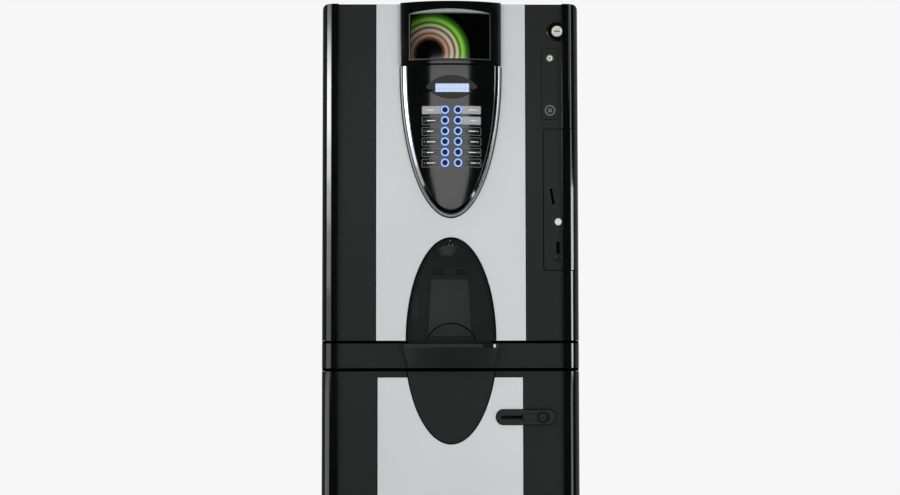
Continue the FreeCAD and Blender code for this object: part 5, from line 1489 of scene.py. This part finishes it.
class MACHINE_OT_tray(bpy.types.Operator):
    """Model the drip tray: bowed front, trough and ribs, and finish its grille"""

    bl_idname = "machine.tray"
    bl_label = "Drip tray"

    def execute(self, context):
        x, y, z = ends_of("drip_tray")
        levels = grown(ends_of("band_moulding")[2], -MM)
        front = self.front(y[0], levels, mid(x), (x[1] - x[0]) / 2)
        dress(front, "tray", "tray", "tray_black", "drip_tray")
        # painted highlight: faces that face up and forward, the top bevel, get the lighter ledge colour
        # for the light they catch
        front.data.materials.append(FINISHES["ledge"])
        for face in front.data.polygons:
            if 0.4 < face.normal.z < 0.9 and face.normal.y < -0.4:
                face.material_index = 1
        self.float_peg(levels[1], mid(x))
        self.trough(y[1], z[0])
        place(dressed_copy("drip_grille", 0.4 * MM), "tray", "steel", "grille_steel", "drip_grille")
        return {"FINISHED"}

    def front(self, crest, z, centre, wide):
        """The bowed front, narrower at its foot to follow the oval, with a bevelled top and a notch."""
        front = block("tray_front", around(centre, wide), (crest, SATIN - 0.3 * MM), z)
        narrow = (wide - 13 * MM) / wide
        stretch(front, at("z", z[0]), (narrow, 1, 1), (centre, 0, z[0]))
        trim(front, drum(wide, 16 * MM, crest, grown(z, MM), centre))
        on_top = at("z", z[1])
        ledge = SATIN - 4 * MM

        def in_front(edge):
            return all(on_top(vertex) and vertex.co.y < ledge for vertex in edge.verts)

        round_picked(front, in_front, 7 * MM, 1)
        round_edges(front, 0.8 * MM, 2, 50)
        notch_x = (centre + 66 * MM, centre + 93.2 * MM)
        notch_z = (z[1] - 8 * MM, z[1] + MM)
        return carve(front, block("notch", notch_x, (crest - MM, ledge), notch_z))

    def float_peg(self, top, centre):
        """A white peg beside the notch, a painted highlight: it stands for the white glint at the tray's
        top right corner.
        """
        x = (centre + 88 * MM, centre + 92.7 * MM)
        peg = block("tray_corner_highlight", x, (SATIN - 10 * MM, SATIN - MM), (top - 9 * MM, top - 0.5 * MM))
        round_edges(peg, 0.8 * MM, 2)
        dress(peg, "tray", "white", "button_white")

    def trough(self, back, foot):
        """The open trough behind, with two ribs under the grille."""
        half = 84 * MM
        grille = ends_of("drip_grille")[2]
        z = (foot + 2.3 * MM, grille[1] + MM)
        trough = block("tray_trough", (-half, half), (SATIN + 0.2 * MM, back), z)
        delete_faces(trough, lambda face: face.normal.z > 0.9)
        round_picked(trough, along("z"), 1.8 * MM, 3)
        modified(trough, "SOLIDIFY", thickness=2 * MM, offset=-1)
        for share in (0.25, 0.75):
            y = around(SATIN + 3 * MM + share * 175 * MM, MM)
            weld(trough, block("rib", (MM - half, half - MM), y, (foot + 20 * MM, grille[0])))
        dress(trough, "tray", "tray", "tray_black")


class MACHINE_OT_bay(bpy.types.Operator):
    """Finish the cup bay: flap, frame, lining, splash plate and drink nozzle"""

    bl_idname = "machine.bay"
    bl_label = "Cup bay"

    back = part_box("bay_liner")[1].y
    flap_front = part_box("bay_door")[0].y

    # places on x and z in millimetres
    flap_screws = ((-2.8, 1160), (4.5, 1160), (-0.7, 1168.5))

    def execute(self, context):
        repaint("smoked", "bay_door")
        # painted shade: the surround of the bay's opening, a dark moulding, takes the near-black shade
        # finish so it shows as the opening's shadowed edge
        repaint("joint", "bay_surround")
        repaint("bay", "bay_liner")
        self.splash()
        self.sensor_bar(FOOT + 142 * MM)
        self.nozzle()
        self.scoop_line()
        self.fittings()
        return {"FINISHED"}

    def splash(self):
        """The lighter splash plate at the bay's back, wider at its foot."""
        z = (FOOT + 11 * MM, FOOT + 142 * MM)
        y = (self.back - 7.2 * MM, self.back - 2 * MM)
        plate = block("splash_plate", (-41.5 * MM, 41.5 * MM), y, z)
        stretch(plate, at("z", z[0]), (1.17, 1, 1), (0, 0, z[0]))
        round_edges(plate, 0.5 * MM)
        dress(plate, "root", "splash", "housing_black")

    def sensor_bar(self, foot):
        """The bar over the splash plate, with the two dark windows of the cup sensor."""
        y = (self.back - 16 * MM, self.back - 2 * MM)
        bar = block("sensor_bar", (-43 * MM, 43 * MM), y, (foot + 2 * MM, foot + 22 * MM))
        round_edges(bar, 1 * MM, 3)
        dress(bar, "root", "bay", "housing_black")
        window_y = (y[0] - 0.4 * MM, y[0] + MM)
        for number, x in enumerate((-27 * MM, 27 * MM), 1):
            z = (foot + 5 * MM, foot + 19 * MM)
            window = block(f"sensor_window_{number}", around(x, 12 * MM), window_y, z)
            round_edges(window, 0.3 * MM)
            dress(window, "root", "joint", "housing_black")

    def nozzle(self):
        """The drink head: a turned funnel with three steel spouts."""
        x, _, z = ends_of("nozzle_head")
        spot = middle("nozzle_head").xy
        foot = z[0] + 12 * MM
        foot_width, bend_height = 0.5, 0.65
        bend = foot + (z[1] - foot) * bend_height
        head = rod("nozzle_shell", "z", (x[1] - x[0]) / 2, (foot, z[1]), spot)
        stretch(head, at("z", foot), (foot_width, foot_width, 1), (*spot, foot))
        edit(head)
        bpy.ops.mesh.bisect(plane_co=(0, 0, bend), plane_no=(0, 0, 1))
        grow = 1 / (foot_width + (1 - foot_width) * bend_height)
        bpy.ops.transform.resize(value=(grow, grow, 1), center_override=(*spot, bend))
        leave_edit()
        round_edges(head, 1.5 * MM, 3, 20)
        # painted light: the nozzle takes the pale splash plate grey, lighter than it looks, so that it
        # shows in the bay's shaded top
        place(smooth(head, 50), "root", "splash", "housing_black", "nozzle_head")
        for number, step in enumerate((-1, 0, 1), 1):
            under = (spot.x + step * 8 * MM, spot.y)
            spout = rod(f"spout_{number}", "z", 3.2 * MM, (z[0], foot + 3 * MM), under, 32)
            carve(spout, rod("bore", "z", 2 * MM, (z[0] - MM, foot), under, 24))
            round_edges(spout, 0.3 * MM)
            dress(spout, "root", "steel", "lock_steel")

    def scoop_line(self):
        """The dark line along the edge of the flap's finger scoop: painted shade."""
        x, _, z = ends_of("bay_door")
        radius = 55.6 * MM
        half = 1.5 * MM
        y = (self.flap_front - 0.5 * MM, self.flap_front + 0.3 * MM)
        lip = hoop("scoop_shade_line", radius + half, radius - half, y, (mid(x), FOOT - 20 * MM), 128)
        carve(lip, block("below", (-SIDE, SIDE), grown(y, MM), (0.5, z[0])))
        round_edges(lip, 0.25 * MM)
        dress(lip, "flap", "joint", "flap_smoked")

    def fittings(self):
        """Three screws over the flap's hinge, and a screw and a small cover in the bay."""
        y = (self.flap_front - 0.5 * MM, self.flap_front + 0.4 * MM)
        for number, (x, z) in enumerate(self.flap_screws, 1):
            screw = rod(f"flap_screw_{number}", "y", 1.3 * MM, y, (x * MM, z * MM), 24)
            round_edges(screw, 0.3 * MM)
            dress(screw, "flap", "motor", "lock_steel")
        wall_y = (self.back - 6 * MM, self.back - 3 * MM)
        cover = block("bay_cover", (-88 * MM, -72 * MM), wall_y, (1012 * MM, 1066 * MM))
        round_corners(cover, 2 * MM)
        dress(cover, "root", "grey", "housing_black")
        spot = (-76 * MM, 1087 * MM)
        screw = rod("bay_screw", "y", 3.6 * MM, wall_y, spot, 32)
        carve(screw, rod("socket", "y", 2 * MM, (self.back - 9 * MM, self.back - 4 * MM), spot, 24))
        dress(screw, "root", "steel", "lock_steel")


REPAINTS = {
    "rubber": ("levelling_feet",),
    "casing": ("cabinet_carcass", "casing_carcass", "casing_top"),
    "zinc": ("fixed_hinges", "power_box", "cash_box"),
    "tray": ("coin_mechanism",),
    "clear": ("bean_hopper",),
    "grey": ("grinder", "brew_unit", "auger_left", "auger_right", "whisk", "waste_bin"),
    "off_white": ("brew_piston", "ingredient_canisters", "mixing_bowl", "air_break_tank", "liquid_tank"),
    "motor": ("gear_motors",),
    "silicone": ("drink_hoses",),
    "brass": ("boiler", "water_pump"),
}


class MACHINE_OT_works(bpy.types.Operator):
    """Finish the casing, the cabinet and the works inside"""

    bl_idname = "machine.works"
    bl_label = "Casing and works"

    def execute(self, context):
        for finish_name, names in REPAINTS.items():
            repaint(finish_name, *names)
        return {"FINISHED"}


# stage


def either(tree, rays, *names):
    """1 where a ray is of any of the kinds."""
    seen = rays.outputs[names[0]]
    for name in names[1:]:
        seen = maths(tree, "MAXIMUM", seen, rays.outputs[name])
    return seen


def pale_floor(stage):
    """A pale painted floor: lit near the machine, so that it takes a shadow, and plain further out."""
    made, tree = bare("Pale floor")
    where = node(tree, "TexCoord").outputs["Object"]
    away = node(tree, "VectorMath", {0: where}, operation="LENGTH")
    far = node(tree, "MapRange", {"Value": away.outputs["Value"], 1: 0.9, 2: 2.3, 3: 0.45, 4: 1.0})
    seen = either(tree, node(tree, "LightPath"), "Is Glossy Ray", "Is Transmission Ray")
    share = maths(tree, "MAXIMUM", seen, far.outputs[0])
    lit = node(tree, "BsdfDiffuse", {"Color": (0.86, 0.86, 0.86, 1)})
    even = node(tree, "Emission", {"Color": (*stage.pale, 1), "Strength": 1.0})
    mix = node(tree, "MixShader", {0: share, 1: lit.outputs[0], 2: even.outputs[0]})
    node(tree, "OutputMaterial", {"Surface": mix.outputs[0]})
    return made


def lit_cloth(name, strength):
    """Cloth of one even brightness, or of greys between two that start at the front and reach the side."""
    made, tree = bare(name)
    if isinstance(strength, tuple):
        where = node(tree, "TexCoord").outputs["Object"]
        depth = node(tree, "SeparateXYZ", {"Vector": where}).outputs["Y"]
        greys = {3: strength[0], 4: strength[1]}
        strength = node(tree, "MapRange", {"Value": depth, 1: -0.9, 2: -0.1, **greys}).outputs[0]
    light = node(tree, "Emission", {"Color": (1, 1, 1, 1), "Strength": strength})
    node(tree, "OutputMaterial", {"Surface": light.outputs[0]})
    return made


def set_world(stage):
    """Even light from all round, seen as the pale background by the camera, metal and glass."""
    world = bpy.data.worlds.new("Studio")
    bpy.context.scene.world = world
    world.use_nodes = True
    tree = world.node_tree
    tree.nodes.clear()
    rays = node(tree, "LightPath")
    seen = either(tree, rays, "Is Camera Ray", "Is Glossy Ray", "Is Transmission Ray")
    light = node(tree, "Background", {"Color": (1, 1, 1, 1), "Strength": stage.fill})
    pale = node(tree, "Background", {"Color": (*stage.pale, 1), "Strength": 1.0})
    mix = node(tree, "MixShader", {0: seen, 1: light.outputs[0], 2: pale.outputs[0]})
    node(tree, "OutputWorld", {"Surface": mix.outputs[0]})


def softbox(name, distance, angles, z, radiance):
    """An upright lamp in front, between two angles from straight ahead and two levels."""
    lamp = bpy.data.lights.new(name, "AREA")
    lamp.shape = "RECTANGLE"
    lamp.size = 2 * distance * math.tan(math.radians(angles[1] - angles[0]) / 2)
    lamp.size_y = z[1] - z[0]
    lamp.energy = radiance * math.pi * lamp.size * lamp.size_y
    made = bpy.data.objects.new(name, lamp)
    bpy.context.scene.collection.objects.link(made)
    turn = math.radians(mid(angles))
    away = Vector((math.sin(turn), -math.cos(turn), 0))
    made.location = Vector((0, FACE, mid(z))) + away * distance
    made.rotation_euler = (-away).to_track_quat("-Z", "Y").to_euler()
    made.visible_camera = False
    return made


def only_mirrored(*things):
    """Let stage pieces show in glossy faces alone."""
    for thing in things:
        for ray in ("camera", "diffuse", "shadow", "transmission"):
            setattr(thing, f"visible_{ray}", False)


class MACHINE_OT_stage(bpy.types.Operator):
    """Set the floor, the dark curtain that glossy faces reflect, the lamps and the camera"""

    bl_idname = "machine.stage"
    bl_label = "Stage"

    curtain_radius = 3.6
    curtain_z = (0.02, 4.2)
    curtain_middle = (0, -0.3)
    curtain_end = 2.6
    softbox_away = 0.9
    softbox_foot_width = 0.53
    fill_away = 2.6
    left_away = 3.0
    right_away = 2.4
    lamp_spacing = 0.04

    # name, angles from straight ahead, levels and brightness
    fills = (
        ("left_fill", (-44, -14), (0.25, 1.1), 1.55),
        ("right_fill", (13, 44), (0.25, 1.1), 2.8),
    )
    mirrored = (
        ("left_low", (-90, -50), (0.1, 0.8), 0.8),
        ("left_high", (-78, -37), (0.8, 2.75), 0.65),
        ("left_glint_wide", (-77, -40), (1.2, 2.5), 0.8),
        ("left_glint_mid", (-77, -40), (1.5, 2.38), 1.5),
        ("left_glint_core", (-77, -40), (1.68, 2.29), 2.0),
        ("left_glint_peak", (-77, -40), (1.86, 2.18), 2.3),
        ("right_low", (43, 60), (0.1, 0.8), 1.0),
        ("right_high", (49, 58), (0.8, 2.5), 1.2),
        ("right_glint", (53, 66), (0.85, 1.55), 4.0),
        ("header_glint", (38.7, 40.6), (1.9, 2.7), 1.2),
        ("grey_card", (-9, 9), (0.6, 1.42), 0.11),
    )

    def execute(self, context):
        stage = context.scene.machine_stage
        set_world(stage)
        self.floor(stage)
        self.curtain()
        self.front_softbox(stage)
        self.lamps(stage)
        self.camera(stage)
        return {"FINISHED"}

    def floor(self, stage):
        let_go()
        bpy.ops.mesh.primitive_circle_add(vertices=64, radius=40, fill_type="NGON", location=(0, 0, 0))
        floor = settle(bpy.context.object, "floor")
        floor.data.materials.append(pale_floor(stage))

    def curtain(self):
        """A dark curtain round the front and sides, near black in front and grey past the sides."""
        curtain = rod(
            "dark_curtain", "z", self.curtain_radius, self.curtain_z, self.curtain_middle, 96
        )
        delete_faces(curtain, lambda face: face.normal.z > 0.5 or centre_of(face).y > self.curtain_end)
        for name, grey in (("Left curtain cloth", 0.17), ("Right curtain cloth", 0.4)):
            curtain.data.materials.append(lit_cloth(name, (0.006, grey)))
        for face in curtain.data.polygons:
            face.material_index = int(face.center.x > 0)
        only_mirrored(curtain)

    def front_softbox(self, stage):
        """The softbox mirrored down the shield: upright, and narrower towards its foot."""
        x = (-0.263, 0.260)
        y = (FACE - self.softbox_away - 2 * MM, FACE - self.softbox_away)
        foot, knee, top = 1.335, 1.452, 1.776
        upper = block("front_softbox", x, y, (knee, top))
        lower = block("front_softbox_foot", x, y, (foot, knee))
        stretch(lower, at("z", foot), (self.softbox_foot_width, 1, 1), (0, 0, foot))
        cloth = lit_cloth("Softbox cloth", stage.key)
        for part in (upper, lower):
            part.data.materials.append(cloth)
        only_mirrored(upper, lower)

    def lamps(self, stage):
        """Lamps at both sides: some that light the wall panels, and some that only gloss mirrors."""
        for name, angles, z, radiance in self.fills:
            lamp = softbox(name, self.fill_away, angles, z, radiance * stage.strips)
            lamp.visible_glossy = False
        for number, (name, angles, z, radiance) in enumerate(self.mirrored):
            away = self.left_away if angles[0] < 0 else self.right_away
            distance = away - self.lamp_spacing * number
            lamp = softbox(name, distance, angles, z, radiance * stage.strips)
            lamp.visible_diffuse = False

    def camera(self, stage):
        """The photographer's place: low, a little left of the machine, looking slightly up."""
        lens = bpy.data.cameras.new("Camera")
        lens.lens = stage.lens
        lens.sensor_width = 36
        lens.shift_y = 0.0625
        camera = bpy.data.objects.new("Camera", lens)
        bpy.context.scene.collection.objects.link(camera)
        camera.location = (-0.021, -2.6113, 0.9516)
        turn = (90 + 2.1, 0.075, -0.482)
        camera.rotation_euler = [math.radians(angle) for angle in turn]
        bpy.context.scene.camera = camera
        bpy.context.scene.view_settings.view_transform = "Standard"


class MACHINE_PT_panel(bpy.types.Panel):
    """The machine's steps, in order"""

    bl_idname = "MACHINE_PT_panel"
    bl_label = "Coffee machine"
    bl_space_type = "VIEW_3D"
    bl_region_type = "UI"
    bl_category = "Coffee machine"

    def draw(self, context):
        for group in GROUPS:
            holder = getattr(context.scene, group)
            for name in holder.__annotations__:
                self.layout.prop(holder, name)
        for step in STEPS:
            self.layout.operator(step.bl_idname)


STEPS = [
    MACHINE_OT_finishes,
    MACHINE_OT_stage,
    MACHINE_OT_mouldings,
    MACHINE_OT_panels,
    MACHINE_OT_header,
    MACHINE_OT_shield,
    MACHINE_OT_buttons,
    MACHINE_OT_labels,
    MACHINE_OT_payment,
    MACHINE_OT_bay,
    MACHINE_OT_tray,
    MACHINE_OT_handle,
    MACHINE_OT_works,
]
GROUPS = {
    "machine_sizes": MachineSizes,
    "machine_colours": MachineColours,
    "machine_stage": StageSettings,
}


def register():
    for kind in (*GROUPS.values(), *STEPS, MACHINE_PT_panel):
        bpy.utils.register_class(kind)
    for name, kind in GROUPS.items():
        setattr(bpy.types.Scene, name, bpy.props.PointerProperty(type=kind))


def unregister():
    for name in GROUPS:
        delattr(bpy.types.Scene, name)
    for kind in reversed((*GROUPS.values(), *STEPS, MACHINE_PT_panel)):
        bpy.utils.unregister_class(kind)


def main():
    """Run every step in order."""
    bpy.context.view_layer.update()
    register()
    for step in STEPS:
        group, name = step.bl_idname.split(".")
        getattr(getattr(bpy.ops, group), name)()
    leave_edit()


if __name__ == "__main__":
    main()
